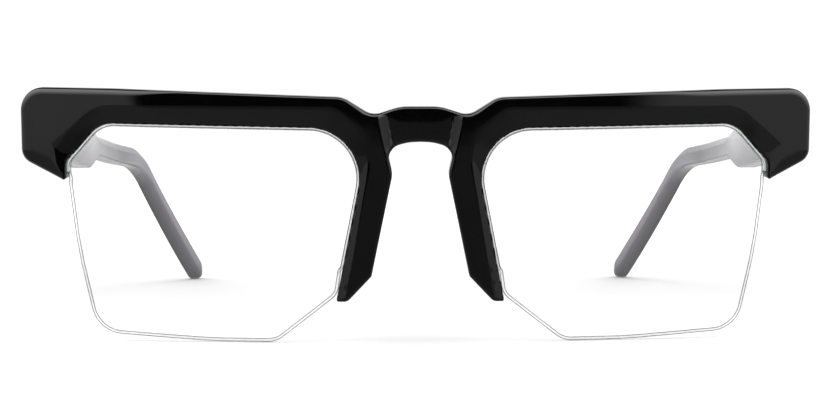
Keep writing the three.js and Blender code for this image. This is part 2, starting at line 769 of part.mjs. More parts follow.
function hingeScrew() {
  const top = barrelZ(4) + BARREL_LENGTH / 2 + SCREW_HEAD_GAP;
  const tail = barrelZ(0) - BARREL_LENGTH / 2 - SCREW_TAIL;
  const shank = rod(SCREW_RADIUS, tail, top + SCREW_HEAD_HEIGHT / 3);
  const head = rod(SCREW_HEAD_RADIUS, top, top + SCREW_HEAD_HEIGHT);
  const slot = box(
    HINGE_X - 2, HINGE_X + 2, HINGE_Y - SLOT_HALF_WIDTH, HINGE_Y + SLOT_HALF_WIDTH,
    top + SCREW_HEAD_HEIGHT - SLOT_DEPTH, top + 2,
  );
  return cut(join([shank, head]), [slot]);
}

// ---------------------------------------------------------------- assembly
function addPiece(group, name, geometry, material) {
  const bare = welded(geometry.index ? geometry : mergeVertices(geometry));
  const leaned = bare.clone().rotateX(rad(FRONT_LEAN));
  leaned.computeVertexNormals();
  const mesh = new THREE.Mesh(leaned, material);
  mesh.name = name;
  group.add(mesh);
}

// The wearer's left is at +X and drawn first, the right is its mirror image.
function addPair(group, name, geometry, material) {
  addPiece(group, `left_${name}`, geometry, material);
  addPiece(group, `right_${name}`, mirrored(geometry), material);
}

function assemble() {
  const group = new THREE.Group();
  group.name = 'half_rim_eyeglasses';
  addPiece(group, 'front', frontBody(), BLACK_ACETATE);
  addPair(group, 'endpiece_block', endpieceBlock(), BLACK_ACETATE);
  addPair(group, 'nose_pad', nosePad(), BLACK_ACETATE);
  const lens = lensBody();
  addPair(group, 'lens', lens, CLEAR_LENS);
  addPair(group, 'upper_liner', linerBody(), CLEAR_NYLON);
  addPair(group, 'lower_cord', cordBody(), CLEAR_NYLON);
  addPair(group, 'front_hinge', frontHinge(), HINGE_STEEL);
  addPair(group, 'temple_hinge', templeHinge(), HINGE_STEEL);
  addPair(group, 'hinge_screw', hingeScrew(), SCREW_STEEL);
  addPair(group, 'temple', templeBody(lowestPoint(lens)), SMOKE_ACETATE);
  addPair(group, 'core_wire', coreTube(CORE_RADIUS, CORE_START, CORE_LENGTH), CORE_STEEL);
  return group;
}

// Put the origin under the middle of the bounding box.
function grounded(group) {
  const bounds = new THREE.Box3().setFromObject(group);
  const middle = bounds.getCenter(new THREE.Vector3());
  group.children.forEach((mesh) => {
    mesh.geometry.translate(0, -middle.y, -bounds.min.z);
  });
  return group;
}

export default grounded(assemble());
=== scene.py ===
"""Half rim eyeglasses: the visual model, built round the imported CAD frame.

Shapes are drawn in millimetres in the glasses' own upright frame: x towards the wearer's left, y back from
the front face at the bridge, z up. place() leans them and moves them to where the frame's hinge says.
"""
import json
import math

import bmesh
import bpy
import numpy as np
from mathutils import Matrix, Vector
from mathutils.geometry import delaunay_2d_cdt


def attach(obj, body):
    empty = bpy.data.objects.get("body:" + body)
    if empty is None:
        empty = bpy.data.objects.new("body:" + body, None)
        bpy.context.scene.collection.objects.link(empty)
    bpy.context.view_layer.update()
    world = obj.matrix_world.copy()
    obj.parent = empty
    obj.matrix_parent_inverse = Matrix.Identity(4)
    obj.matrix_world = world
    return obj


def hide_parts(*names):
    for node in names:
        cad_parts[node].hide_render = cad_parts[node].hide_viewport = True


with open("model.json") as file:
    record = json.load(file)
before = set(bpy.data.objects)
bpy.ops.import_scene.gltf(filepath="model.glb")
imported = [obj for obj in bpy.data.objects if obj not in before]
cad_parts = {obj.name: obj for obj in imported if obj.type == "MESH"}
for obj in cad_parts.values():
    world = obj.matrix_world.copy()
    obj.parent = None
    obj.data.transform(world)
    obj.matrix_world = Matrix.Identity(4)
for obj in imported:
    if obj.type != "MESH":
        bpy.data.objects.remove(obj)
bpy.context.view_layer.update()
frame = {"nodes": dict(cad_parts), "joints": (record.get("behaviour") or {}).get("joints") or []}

# ------------------------------------------------------------------ sizes of the front, mm
MM = 0.001
BEND_RADIUS = 300.0
THICKNESS = 4.2

# Rounding of the front's outer edge: in general, on the end pieces, in the dips and beside the lens.
EDGE_ROUND = 0.55
END_ROUND = 1.05
DIP_ROUND = 0.35
DIP_CENTRE = 9.3
OPENING_ROUND = 0.3
END_PILLOW = 0.024
PILLOW_REACH = 2.2

# Bevel round the lens opening, and its gentler slope at the low end of the end pieces.
BEVEL_DEPTH = 0.6
ARM_BEVEL_POWER = 1.7
END_SLOPE = 0.11
END_START = 58.0

BRIDGE_RECESS = 0.75
BRIDGE_CROWN = 0.012
CROWN_LINE = 40.2
CROWN_ENDS = 1.8
CROWN_HALF = 5.6

# Spacing of the front's mesh points: the even fill, and the rows beside the creases and facets.
FILL_PITCH = 0.85
HEX_ROW = 0.866
CREASE_ROWS = (-0.45, -0.2, 0.0, 0.2, 0.45)
FACET_ROWS = (-0.35, -0.15, 0.0, 0.15, 0.35)

HALF_WIDTH = 73.35
BRIDGE_TOP = 42.92
KEYHOLE_TOP = 36.55

# Corners (x, z, radius) of one half of each outline, and of the crease that borders the bevel.
OPENING = [(64.9, 28.75, 0.6), (64.9, 32.5, 2.4), (58.4, 39.6, 6.0), (9.2, 38.95, 9.2), (14.1, 13.9, 6.0),
           (15.38, 7.35, 0.35)]
KEYHOLE = [(13.35, 7.35, 1.6), (8.92, 12.05, 0.8), (5.05, 30.8, 4.5), (5.85, 34.2, 2.0), (4.75, 35.75, 3.0),
           (2.2, 36.47, 9.0)]
BROW = [(3.6, BRIDGE_TOP, 9.0), (8.72, 41.3, 3.6), (14.05, 44.6, 4.8), (56.0, 45.92, 80.0),
        (HALF_WIDTH, 46.05, 4.3), (HALF_WIDTH, 32.95, 2.8)]
CREASE = [(65.1, 28.6, 0), (66.7, 32.0, 1.5), (67.2, 35.5, 0.5), (59.0, 42.68, 7.0), (15.4, 42.55, 4.0),
          (9.75, 37.9, 6.0), (9.1, 33.0, 6.0), (12.95, 8.25, 0), (13.2, 6.5, 0)]
LENS = [(64.5, 32.4, 2.2), (58.3, 39.3, 5.8), (9.5, 38.68, 8.9), (14.38, 13.85, 8.0), (15.12, 8.5, 3.5),
        (26.4, -0.4, 5.0), (38.2, -0.4, 60.0), (59.8, 0.75, 6.0), (63.2, 16.1, 50.0), (64.6, 28.2, 4.0)]

# ------------------------------------------------------------------ sizes of the other pieces, mm
LENS_DEPTH = 1.0
LENS_THICKNESS = 2.0
LENS_MIDDLE = LENS_DEPTH + LENS_THICKNESS / 2
LENS_DOME = 1.0
LENS_REACH = 30.0
LENS_CENTRE = np.array([38.0, 20.0])
LENS_STEPS = [0.04, 0.12, 0.22, 0.33, 0.44, 0.55, 0.65, 0.74, 0.82, 0.89, 0.94, 0.975]
LENS_ARRIS = 0.16
NASAL_SIDE = 30.0
GROOVE_RADIUS = 0.33
CORD_RADIUS = 0.34
CORD_INSET = 0.32
GLASS_INSET = 0.3
LINER_THICKNESS = 0.2
LINER_HALF = 0.66

HINGE = np.array([63.6, 14.75, 40.4])
BARREL_RADIUS = 1.35
BARREL_LENGTH = 1.14
BARREL_PITCH = 1.26
BORE_RADIUS = 0.56
SCREW_RADIUS = 0.5
SCREW_HEAD = 1.05
LEAF = 0.8
LEAF_INNER = 62.1
LEAF_OUTER = 65.04
LEAF_SEAT = 13.4
LEAF_EDGE = 0.18
LEAF_REACH = 7.5
KNUCKLE_EDGE = 0.1
BARREL_EDGE = 0.12

PAD_LOW = 15.2
PAD_HIGH = 30.6
PAD_NOSE_SIDE = 8.62
PAD_LENS_SIDE = 13.1
PAD_MIDDLE = 10
PAD_NOSE_LEAN = 0.213
PAD_LENS_LEAN = 0.196
PAD_ROUND = 1.9
PAD_BACK = 5.3

BLOCK_INNER = 60.6
BLOCK_STEP = 65.3
BLOCK_OUTER = 70.6
BLOCK_SEAT = 13.3
BLOCK_BACK = 14.55
BLOCK_TOP = 45.1
BLOCK_FLOOR = 31.9
BLOCK_EDGE = 0.5

TEMPLE_START = 14.9
PANTOSCOPIC = math.radians(8)
SHANK_TOP = 39.12
SHANK_HEIGHT = 4.3
PADDLE_BOTTOM = -7.3
PADDLE_TOP = 6.0
SHANK_LENGTH = 74.0
TEMPLE_BEND = 28.0
BEND_ANGLE = math.radians(30.05)
HOOK_LENGTH = 49.0
TEMPLE_LENGTH = SHANK_LENGTH + TEMPLE_BEND * BEND_ANGLE + HOOK_LENGTH
TIP_HEIGHT = 5.8
TIP_ROUND = 4.2
TEMPLE_THICK = 4.0
TIP_THICK = 3.7
TEMPLE_INNER = 65.5
CURL_START = 58.0
TIP_CURL = 11.4

# Painted light and shade on the tinted acetate: up the paddle a lit top bevel, a shaded bottom edge and a
# darker band where the core wire shows through; across the hook a shaded outer edge and a lit inner side.
OUTER_PAINTED_SHADE = 0.55
PADDLE_SHADING_BANDS = [(0, 0.34), (0.07, 0.6), (0.17, 1.05), (0.42, 1.0), (0.53, 0.6), (0.62, 0.68), (0.78, 1.1)]
HOOK_SHADING_BANDS = [(0.08, 0.25), (0.2, 0.75), (0.34, 1.0), (0.62, 1.08), (0.85, 1.7), (1, 2.6)]

# ------------------------------------------------------------------ where the frame says things are
LEFT_FOLD = next(j for j in frame["joints"] if j["name"] == "left_temple_fold")
AXIS = Vector(LEFT_FOLD["axis"]).normalized()
LEAN = math.atan2(-AXIS.y, AXIS.z)


def leaned(points):
    """Lean points of the upright frame about the x axis, still in mm."""
    p = np.asarray(points, float)
    c, s = math.cos(LEAN), math.sin(LEAN)
    return np.stack([p[..., 0], c * p[..., 1] - s * p[..., 2], s * p[..., 1] + c * p[..., 2]], -1)


ORIGIN = np.array(LEFT_FOLD["pos_m"]) / MM - leaned(HINGE)


def place(points):
    """Upright frame in mm to the row frame in metres."""
    return (leaned(points) + ORIGIN) * MM


def bend(x):
    """How far back the curve of the front lies at x."""
    return BEND_RADIUS - np.sqrt(BEND_RADIUS ** 2 - x ** 2)


def wrap(points):
    """Bend upright points round the face."""
    p = np.array(points, float)
    p[..., 1] += bend(p[..., 0])
    return p


# ------------------------------------------------------------------ curves
def smooth(x, low, high):
    t = np.clip((np.asarray(x, float) - low) / (high - low), 0, 1)
    return t * t * (3 - 2 * t)


def mix(a, b, t):
    return a + (b - a) * t


def cos_sin(degrees):
    return math.cos(math.radians(degrees)), math.sin(math.radians(degrees))


def corner_arc(before, corner, after, step):
    """Points of the tangent arc that rounds one corner (x, z, radius)."""
    p = np.array(corner[:2], float)
    u = np.array(before[:2], float) - p
    v = np.array(after[:2], float) - p
    u /= np.linalg.norm(u)
    v /= np.linalg.norm(v)
    turn = math.pi - math.acos(float(np.clip(u @ v, -1, 1)))
    if corner[2] == 0 or turn < 0.01:
        return [p]
    reach = corner[2] * math.tan(turn / 2)
    side = 1.0 if u[0] * v[1] - u[1] * v[0] > 0 else -1.0
    start = p + u * reach
    centre = start + side * corner[2] * np.array([-u[1], u[0]])
    count = max(1, math.ceil(turn / math.radians(step)))
    arm = start - centre
    out = []
    for k in range(count + 1):
        a = -side * turn * k / count
        c, s = math.cos(a), math.sin(a)
        out.append(centre + np.array([c * arm[0] - s * arm[1], s * arm[0] + c * arm[1]]))
    return out


def rounded_loop(corners, step=6):
    """Closed outline with every corner rounded."""
    n = len(corners)
    out = []
    for i, corner in enumerate(corners):
        out.extend(corner_arc(corners[i - 1], corner, corners[(i + 1) % n], step))
    return np.array(out)


def rounded_path(corners, step=6):
    """Open path with its inner corners rounded."""
    out = [np.array(corners[0][:2], float)]
    for i in range(1, len(corners) - 1):
        out.extend(corner_arc(corners[i - 1], corners[i], corners[i + 1], step))
    out.append(np.array(corners[-1][:2], float))
    return np.array(out)


def spaced(points, gap, closed=True):
    """Add points along the straight stretches so that none is longer than gap."""
    ends = np.roll(points, -1, axis=0) if closed else points[1:]
    starts = points if closed else points[:-1]
    out = []
    for a, b in zip(starts, ends):
        steps = max(1, math.ceil(np.linalg.norm(b - a) / gap))
        out.extend(a + (b - a) * k / steps for k in range(steps))
    if not closed:
        out.append(points[-1])
    return np.array(out)


def inward(loop):
    """Unit normals that point into a closed loop."""
    area = np.sum(loop[:, 0] * np.roll(loop[:, 1], -1) - np.roll(loop[:, 0], -1) * loop[:, 1])
    e = loop - np.roll(loop, 1, axis=0)
    f = np.roll(loop, -1, axis=0) - loop
    e /= np.linalg.norm(e, axis=1)[:, None]
    f /= np.linalg.norm(f, axis=1)[:, None]
    n = np.stack([-e[:, 1] - f[:, 1], e[:, 0] + f[:, 0]], 1)
    n /= np.linalg.norm(n, axis=1)[:, None]
    return n if area > 0 else -n


def path_normals(path):
    """Unit normals to the left of an open path."""
    t = np.gradient(path, axis=0)
    t /= np.linalg.norm(t, axis=1)[:, None]
    return np.stack([-t[:, 1], t[:, 0]], 1)


def distance_to(points, line, closed):
    """Shortest distance from each point to a polyline, and the nearest place along it."""
    a = line if closed else line[:-1]
    b = np.roll(line, -1, axis=0) if closed else line[1:]
    ab = b - a
    length = np.maximum((ab ** 2).sum(1), 1e-12)
    best = np.full(len(points), 1e9)
    near = np.zeros((len(points), 2))
    for k in range(len(a)):
        t = np.clip(((points - a[k]) @ ab[k]) / length[k], 0, 1)
        foot = a[k] + t[:, None] * ab[k]
        d = np.linalg.norm(points - foot, axis=1)
        closer = d < best
        best[closer] = d[closer]
        near[closer] = foot[closer]
    return best, near


def inside(points, loop):
    """Even-odd test of points against a closed loop."""
    x, y = points[:, 0], points[:, 1]
    result = np.zeros(len(points), bool)
    for a, b in zip(loop, np.roll(loop, -1, axis=0)):
        crosses = (a[1] > y) != (b[1] > y)
        at = (b[0] - a[0]) * (y - a[1]) / (b[1] - a[1] + 1e-15) + a[0]
        result ^= crosses & (x < at)
    return result


# ------------------------------------------------------------------ meshes
def new_object(name, points, faces, angle=None, marks=None):
    """Mesh object from row-frame points. Edges sharper than angle stay hard; marks are point attributes."""
    mesh = bpy.data.meshes.new(name)
    mesh.from_pydata([tuple(p) for p in points], [], [tuple(f) for f in faces])
    for mark, values in (marks or {}).items():
        mesh.attributes.new(mark, "FLOAT", "POINT").data.foreach_set("value", np.asarray(values, np.float32))
    bm = bmesh.new()
    bm.from_mesh(mesh)
    bmesh.ops.remove_doubles(bm, verts=bm.verts, dist=1e-7)
    bmesh.ops.recalc_face_normals(bm, faces=bm.faces)
    bm.to_mesh(mesh)
    bm.free()
    mesh.shade_smooth()
    if angle is not None:
        mesh.set_sharp_from_angle(angle=math.radians(angle))
    obj = bpy.data.objects.new(name, mesh)
    bpy.context.scene.collection.objects.link(obj)
    return obj


def skin_faces(rows, count):
    """Faces of a row of equal loops, with an n-gon at each end."""
    faces = []
    for k in range(rows - 1):
        for i in range(count):
            j = (i + 1) % count
            a = k * count
            faces.append((a + i, a + j, a + count + j, a + count + i))
    faces.append(tuple(range(count))[::-1])
    faces.append(tuple((rows - 1) * count + i for i in range(count)))
    return faces


def loft(name, loops, angle=None, marks=None):
    """Object skinned over equal loops of upright points in mm."""
    faces = skin_faces(len(loops), len(loops[0]))
    return new_object(name, place(np.concatenate(loops)), faces, angle, marks)


def mirror_points(points):
    p = np.array(points, float)
    p[..., 0] *= -1
    return p


def both_sides(build):
    """Build the left piece, then its mirror image on the right."""
    return [build("left", lambda p: p), build("right", mirror_points)]


# ------------------------------------------------------------------ front
def mirror_corners(corners):
    return [(-x, z, r) for x, z, r in corners]


def front_outline():
    half = BROW + OPENING + KEYHOLE
    loop = [(0.0, BRIDGE_TOP, 0.0)] + half + [(0.0, KEYHOLE_TOP, 0.0)] + mirror_corners(half)[::-1]
    return spaced(rounded_loop(loop, 4), 0.45)


def opening_path():
    return spaced(rounded_path(OPENING, 5), 0.6, closed=False)


def crease_path():
    return spaced(rounded_path(CREASE, 5), 0.5, closed=False)


def beyond_crease(points, crease, edge):
    """True where a point lies on the far side of the crease from the lens opening."""
    ring = np.concatenate([crease, edge[::-1]])
    return ~inside(points, ring)


def bevel_depth(points, crease, edge, crisp):
    """Depth of the bevel: full at the opening's edge, nothing beyond the crease."""
    folded = np.abs(points)
    to_edge, _ = distance_to(folded, edge, False)
    to_crease, _ = distance_to(folded, crease, False)
    signed = np.where(beyond_crease(folded, crease, edge), -to_crease, to_crease)
    width = np.maximum(to_edge + signed, 0.3)
    share = signed / width
    power = mix(ARM_BEVEL_POWER, 1.0, smooth(folded[:, 1], 26, 35))
    curved = np.where(share > 0, np.clip(share, 0, None) ** power, share)
    upper = np.where(folded[:, 0] > END_START, smooth(folded[:, 1], 34.0, 40.0), 1.0)
    return soft_floor(mix(END_SLOPE * signed, BEVEL_DEPTH * curved, upper), crisp)


def soft_floor(value, radius):
    """Like max(value, 0), with the corner rounded over about radius."""
    return 0.5 * (value + np.sqrt(value ** 2 + radius ** 2))


def facet_line(z):
    """Outer and inner border of the facet beside the bridge, by height."""
    t = (z - 35.3) / 6.5
    return mix(6.53, 7.96, t), mix(5.03, 6.1, t)


def bridge_recess(points):
    """The bridge stands back behind the rims, with a flat facet on each side of it."""
    x, z = np.abs(points[:, 0]), points[:, 1]
    outer, inner = facet_line(z)
    slope = np.clip((outer - x) / (outer - inner), -2, 3)
    ramp = soft_floor(slope, 0.05) - soft_floor(slope - 1, 0.3)
    below = np.clip(CROWN_LINE + CROWN_ENDS * (x / CROWN_HALF) ** 6 - z, 0, None)
    crown = BRIDGE_CROWN * below ** 2
    return BRIDGE_RECESS * ramp * smooth(z, 33.2, 35.6) + np.where(x < inner, crown, 0)


def end_share(points):
    """1 on the end pieces, 0 on the rest of the front."""
    return smooth(np.abs(points[:, 0]), 44.0, 54.0)


def edge_radius(foot, edge):
    """Rounding of the outer edge, wider on the end pieces and finer where the lens sits against it."""
    away, _ = distance_to(np.abs(foot), edge, False)
    dips = DIP_ROUND * np.exp(-((np.abs(foot[:, 0]) - DIP_CENTRE) / 2.2) ** 2) * smooth(foot[:, 1], 38, 40)
    outer = mix(EDGE_ROUND, END_ROUND, end_share(foot)) + dips
    return mix(OPENING_ROUND, outer, smooth(away, 0.05, 1.2))


def end_pillow(distance, foot, edge):
    """Slow swell of the end pieces towards their polished edges."""
    away, _ = distance_to(np.abs(foot), edge, False)
    left = np.clip(PILLOW_REACH - distance, 0, None)
    return END_PILLOW * left ** 2 * end_share(foot) * smooth(away, 0.05, 2.5)


def edge_round(distance, radius):
    """How far a rounded edge falls away at a distance from the outline."""
    left = np.clip(1 - distance / radius, 0, 1)
    return radius * (1 - np.sqrt(1 - left ** 2))


def offset_lines(line, side, shifts, trim):
    """Copies of a line beside itself, on the left half and the right half."""
    out = []
    for shift in shifts:
        moved = (line + side * shift)[trim:len(line) - trim]
        out.extend([moved, mirror_points(moved)])
    return out


def front_points(outline, edge, crease):
    """Plan points of the front: loops along every edge and crease, and an even fill between."""
    normals = inward(outline)
    radius = edge_radius(outline, edge)[:, None]
    loops = [outline]
    for angle in (18, 36, 54, 72, 90):
        loops.append(outline + normals * radius * (1 - math.cos(math.radians(angle))))
    loops.append(outline + normals * (radius + 0.22))
    creases = offset_lines(crease, path_normals(crease), CREASE_ROWS, 3)
    z = np.arange(33.0, 45.0, 0.5)
    for border in facet_line(z):
        line = np.stack([border, z], 1)
        creases += offset_lines(line, np.array([[1.0, 0.0]]), FACET_ROWS, 0)
    extra = np.concatenate(creases)
    extra = extra[inside(extra, outline)]
    extra = extra[clear_of(extra, outline, edge, 0.4)]
    fill = hex_fill(outline, FILL_PITCH)
    fill = fill[inside(fill, outline)]
    fill = fill[clear_of(fill, outline, edge, 0.5)]
    return loops, extra, fill[nearest_gap(fill, extra) > 0.38]


def clear_of(points, outline, edge, margin):
    distance, foot = distance_to(points, outline, True)
    return distance > edge_radius(foot, edge) + margin


def hex_fill(loop, pitch):
    low, high = loop.min(0), loop.max(0)
    rows = np.arange(low[1], high[1], pitch * HEX_ROW)
    out = []
    for k, z in enumerate(rows):
        xs = np.arange(low[0] + (k % 2) * pitch / 2, high[0], pitch)
        out.append(np.stack([xs, np.full(len(xs), z)], 1))
    return np.concatenate(out)


def nearest_gap(points, others):
    best = np.full(len(points), 1e9)
    for start in range(0, len(others), 200):
        chunk = others[start:start + 200]
        d = np.linalg.norm(points[:, None] - chunk[None], axis=2).min(1)
        best = np.minimum(best, d)
    return best


def build_front():
    outline = front_outline()
    edge = opening_path()
    crease = crease_path()
    loops, extra, fill = front_points(outline, edge, crease)
    n = len(outline)
    plan = np.concatenate(loops + [extra, fill])
    edges = [(k * n + i, k * n + (i + 1) % n) for k in range(len(loops)) for i in range(n)]
    result = delaunay_2d_cdt([Vector(p) for p in plan], edges, [list(range(n))], 1, 1e-5)
    plan = np.array([tuple(v) for v in result[0]])
    triangles = [tuple(f) for f in result[2]]
    distance, foot = distance_to(plan, outline, True)
    rounding = edge_round(distance, edge_radius(foot, edge))
    swell = end_pillow(distance, foot, edge)
    face = bevel_depth(plan, crease, edge, 0.03) + bridge_recess(plan) + rounding + swell
    front_sheet = np.stack([plan[:, 0], face, plan[:, 1]], 1)
    back_sheet = np.stack([plan[:, 0], THICKNESS - rounding, plan[:, 1]], 1)
    points = place(wrap(np.concatenate([front_sheet, back_sheet])))
    count = len(plan)
    faces = triangles + [tuple(i + count for i in t[::-1]) for t in triangles]
    faces += rim_faces(triangles, count)
    return new_object("front_shell", points, faces)


def rim_faces(triangles, count):
    """Quads that join the free edges of the front sheet to those of the back sheet."""
    seen = {}
    for t in triangles:
        for side in ((t[0], t[1]), (t[1], t[2]), (t[2], t[0])):
            seen[side] = True
    free = [(a, b) for a, b in seen if (b, a) not in seen]
    return [(b, a, a + count, b + count) for a, b in free]


# ------------------------------------------------------------------ lenses, cords and liners
def lens_outline():
    return spaced(rounded_loop(LENS, 6), 1.2)


def cord_share(points):
    """1 where the cord holds the lens, 0 where the rim does."""
    nasal = smooth(points[:, 1], 13.8, 12.2)
    temporal = smooth(points[:, 1], 30.8, 29.6)
    return np.where(points[:, 0] < NASAL_SIDE, nasal, temporal)


def lens_ring(loop, normals, amount, depth):
    """Edge ring of the lens, moved in by amount."""
    points = loop + normals * amount
    return np.stack([points[:, 0], np.full(len(points), depth), points[:, 1]], 1)


def lens_dome(loop, normals, scale, depth, amount):
    """Ring of a domed face of the lens, shrunk towards its centre."""
    points = LENS_CENTRE + (loop + normals * amount - LENS_CENTRE) * scale
    reach = ((points - LENS_CENTRE) ** 2).sum(1) / LENS_REACH ** 2
    edge = ((loop - LENS_CENTRE) ** 2).sum(1) / LENS_REACH ** 2
    lift = LENS_DOME * ((1 - reach) - (1 - edge) * scale ** 6)
    return np.stack([points[:, 0], depth - lift, points[:, 1]], 1)


def lens_face(loop, normals, depth):
    """Rings of one face of the lens, from its centre to its edge."""
    rings = [lens_dome(loop, normals, scale, depth, LENS_ARRIS) for scale in LENS_STEPS]
    rings.append(lens_dome(loop, normals, 1.0, depth, 1.5 * LENS_ARRIS))
    return rings


def lens_arris(loop, normals, depth, back):
    """Rings of the rounded arris between a face and the ground edge."""
    rings = []
    for angle in (0, 30, 60, 90):
        c, s = cos_sin(angle)
        rings.append(lens_ring(loop, normals, LENS_ARRIS * (1 - s), depth + back * LENS_ARRIS * (1 - c)))
    return rings


def build_lens(side, flip):
    loop = lens_outline()
    normals = inward(loop)
    loop = loop + normals * (GLASS_INSET * cord_share(loop))[:, None]
    back = LENS_DEPTH + LENS_THICKNESS
    face = lens_face(loop, normals, LENS_DEPTH)
    arris = lens_arris(loop, normals, LENS_DEPTH, 1)
    groove = []
    for angle in (-90, -60, -30, 0, 30, 60, 90):
        c, s = cos_sin(angle)
        groove.append(lens_ring(loop, normals, GROOVE_RADIUS * c, LENS_MIDDLE + GROOVE_RADIUS * s))
    far_arris = lens_arris(loop, normals, back, -1)[::-1]
    far_face = lens_face(loop, normals, back)[::-1]
    rings = face + arris + groove + far_arris + far_face
    # The edge mark paints shade on the lens's edge: full on the arrises, light in the groove, none on the
    # faces or where the cord holds the lens.
    weight = [0.0] * len(face) + [1.0] * len(arris) + [0.12] * len(groove) + [1.0] * len(arris)
    weight += [0.0] * len(face)
    ground = [(1 - cord_share(loop)) * w for w in weight]
    rings = [wrap(flip(r)) for r in rings]
    return loft(f"{side}_lens_clear", rings, None, {"edge": np.concatenate(ground)})


def lens_run(amount, keep):
    """Stretch of the lens edge that keep() accepts, moved in by amount, with its inward normals."""
    loop = lens_outline()
    normals = inward(loop)
    ok = np.array([keep(p) for p in loop])
    first = next(i for i in range(len(loop)) if ok[i] and not ok[i - 1])
    order = [(first + k) % len(loop) for k in range(len(loop))]
    order = order[:next((k for k, i in enumerate(order) if not ok[i]), len(order))]
    return (loop + normals * amount)[order], normals[order]


def is_cord(p):
    return p[1] < 30.2 and not (p[1] > 13.2 and p[0] < NASAL_SIDE)


def is_liner(p):
    return p[1] > 30.4 or (p[1] > 13.0 and p[0] < NASAL_SIDE)


def tube_rings(path, normals, radius, depth, sides=14):
    """Rings of a round cord that runs in the lens plane."""
    rings = []
    for (x, z), n in zip(path, normals):
        ring = []
        for k in range(sides):
            a = 2 * math.pi * k / sides
            out = radius * math.cos(a)
            ring.append((x + n[0] * out, depth + radius * math.sin(a), z + n[1] * out))
        rings.append(np.array(ring))
    return rings


def build_cord(side, flip):
    path, normals = lens_run(CORD_INSET, is_cord)
    into_arm = path[0] + np.array([[-0.6, 0.9], [-0.2, 0.45]])
    into_brow = path[-1] + np.array([[0.15, 0.5], [0.45, 1.1]])
    path = np.concatenate([into_arm, path, into_brow])
    normals = np.concatenate([normals[:1], normals[:1], normals, normals[-1:], normals[-1:]])
    rings = [wrap(flip(r)) for r in tube_rings(path, normals, CORD_RADIUS, LENS_MIDDLE)]
    return loft(f"{side}_nylon_cord", rings)


def build_liner(side, flip):
    path, normals = lens_run(-0.05, is_liner)
    out, half = LINER_THICKNESS, LINER_HALF
    section = rounded_loop([(0, -half, 0.05), (out, -half, 0.05), (out, half, 0.05), (0, half, 0.05)], 30)
    rings = []
    for (x, z), n in zip(path, normals):
        rings.append(np.array([(x - n[0] * o, LENS_MIDDLE + d, z - n[1] * o) for o, d in section]))
    rings = [wrap(flip(r)) for r in rings]
    return loft(f"{side}_rim_liner", rings)


# ------------------------------------------------------------------ temples
def temple_line(t):
    """Distance back, drop and turn of the temple's middle line, t along it."""
    turned = np.clip((t - SHANK_LENGTH) / (TEMPLE_BEND * BEND_ANGLE), 0, 1) * BEND_ANGLE
    hook = max(0.0, t - SHANK_LENGTH - TEMPLE_BEND * BEND_ANGLE)
    along = min(t, SHANK_LENGTH) + TEMPLE_BEND * math.sin(turned) + hook * math.cos(turned)
    drop = TEMPLE_BEND * (1 - math.cos(turned)) + hook * math.sin(turned)
    return along, drop, turned


def temple_swell(t):
    """Half of what the hook gains in height towards the tip."""
    return (TIP_HEIGHT - SHANK_HEIGHT) / 2 * float(smooth(t, SHANK_LENGTH, TEMPLE_LENGTH - 10))


def temple_top(t):
    shoulder = mix(PADDLE_TOP, 0.9, float(smooth(t, 6, 33)))
    return mix(shoulder, 0, float(smooth(t, 33, 36))) + temple_swell(t)


def temple_bottom(t):
    step = float(np.clip((t - 23.5) / 11, 0, 1))
    rounded = mix(step, float(smooth(step, 0, 1)), 0.35)
    return mix(PADDLE_BOTTOM, -SHANK_HEIGHT, rounded) - temple_swell(t)


def temple_inner(t):
    return TEMPLE_INNER - TIP_CURL * max(0.0, (t - CURL_START) / (TEMPLE_LENGTH - CURL_START)) ** 1.35


def temple_thick(t):
    return mix(TEMPLE_THICK, TIP_THICK, float(smooth(t, 30, 100)))


def temple_point(t, height, x):
    """Upright point at t along the temple, height above the shank's top and x across."""
    along, drop, turned = temple_line(t)
    middle = -SHANK_HEIGHT / 2
    s = along - (height - middle) * math.sin(turned)
    v = middle - drop + (height - middle) * math.cos(turned)
    heel = float(smooth(t, 0, 14))
    y = TEMPLE_START + s * math.cos(PANTOSCOPIC) + v * math.sin(PANTOSCOPIC) * heel
    z = SHANK_TOP - s * math.sin(PANTOSCOPIC) + v * math.cos(PANTOSCOPIC)
    return (x, y, z)


def temple_ring(t, scale=1.0):
    """Section of the temple, squarer at the paddle and rounder along the hook, and the painted light and
    shade across it.
    """
    top, bottom = temple_top(t), temple_bottom(t)
    middle, half = (top + bottom) / 2, (top - bottom) / 2 * scale
    a = temple_thick(t) / 2 * scale
    r = min(0.95, a * 0.8) * scale
    hook = float(smooth(t, 60, 90))
    bevel = min(mix(1.7, 1.2, hook) * scale, half * 0.7)
    side = min(0.8 * a, bevel * 0.8)
    sole = mix(r * 0.6, mix(0.75, 1.42, float(smooth(t, TEMPLE_LENGTH - 11, TEMPLE_LENGTH - 3))) * a, hook)
    loop = rounded_loop([(-a, -half, sole), (a, -half, r * 0.6), (a, half, r),
                         (-a + side, half, mix(0.25, 0.7, hook) * scale),
                         (-a, half - bevel, mix(0.35, 0.7, hook) * scale)], 15)
    centre = temple_inner(t) + temple_thick(t) / 2
    ring = np.array([temple_point(t, middle + h, centre + x) for x, h in loop])
    loop = np.array(loop)
    return ring, painted_shading((loop[:, 1] / half + 1) / 2, (1 - loop[:, 0] / a) / 2, hook)


def painted_shading(height, inner, hook):
    """Painted light and shade, as a factor on the tint: up the paddle a lit top bevel, a shaded bottom edge
    and a darker band where the core wire shows through, with the outer side shaded; across the hook a shaded
    outer edge and a lit inner side.
    """
    paddle = np.interp(height, *zip(*PADDLE_SHADING_BANDS))
    tip = np.interp(inner, *zip(*HOOK_SHADING_BANDS))
    outside = mix(OUTER_PAINTED_SHADE, 1.0, smooth(inner, 0.15, 0.8))
    return mix(paddle * outside, tip, hook)


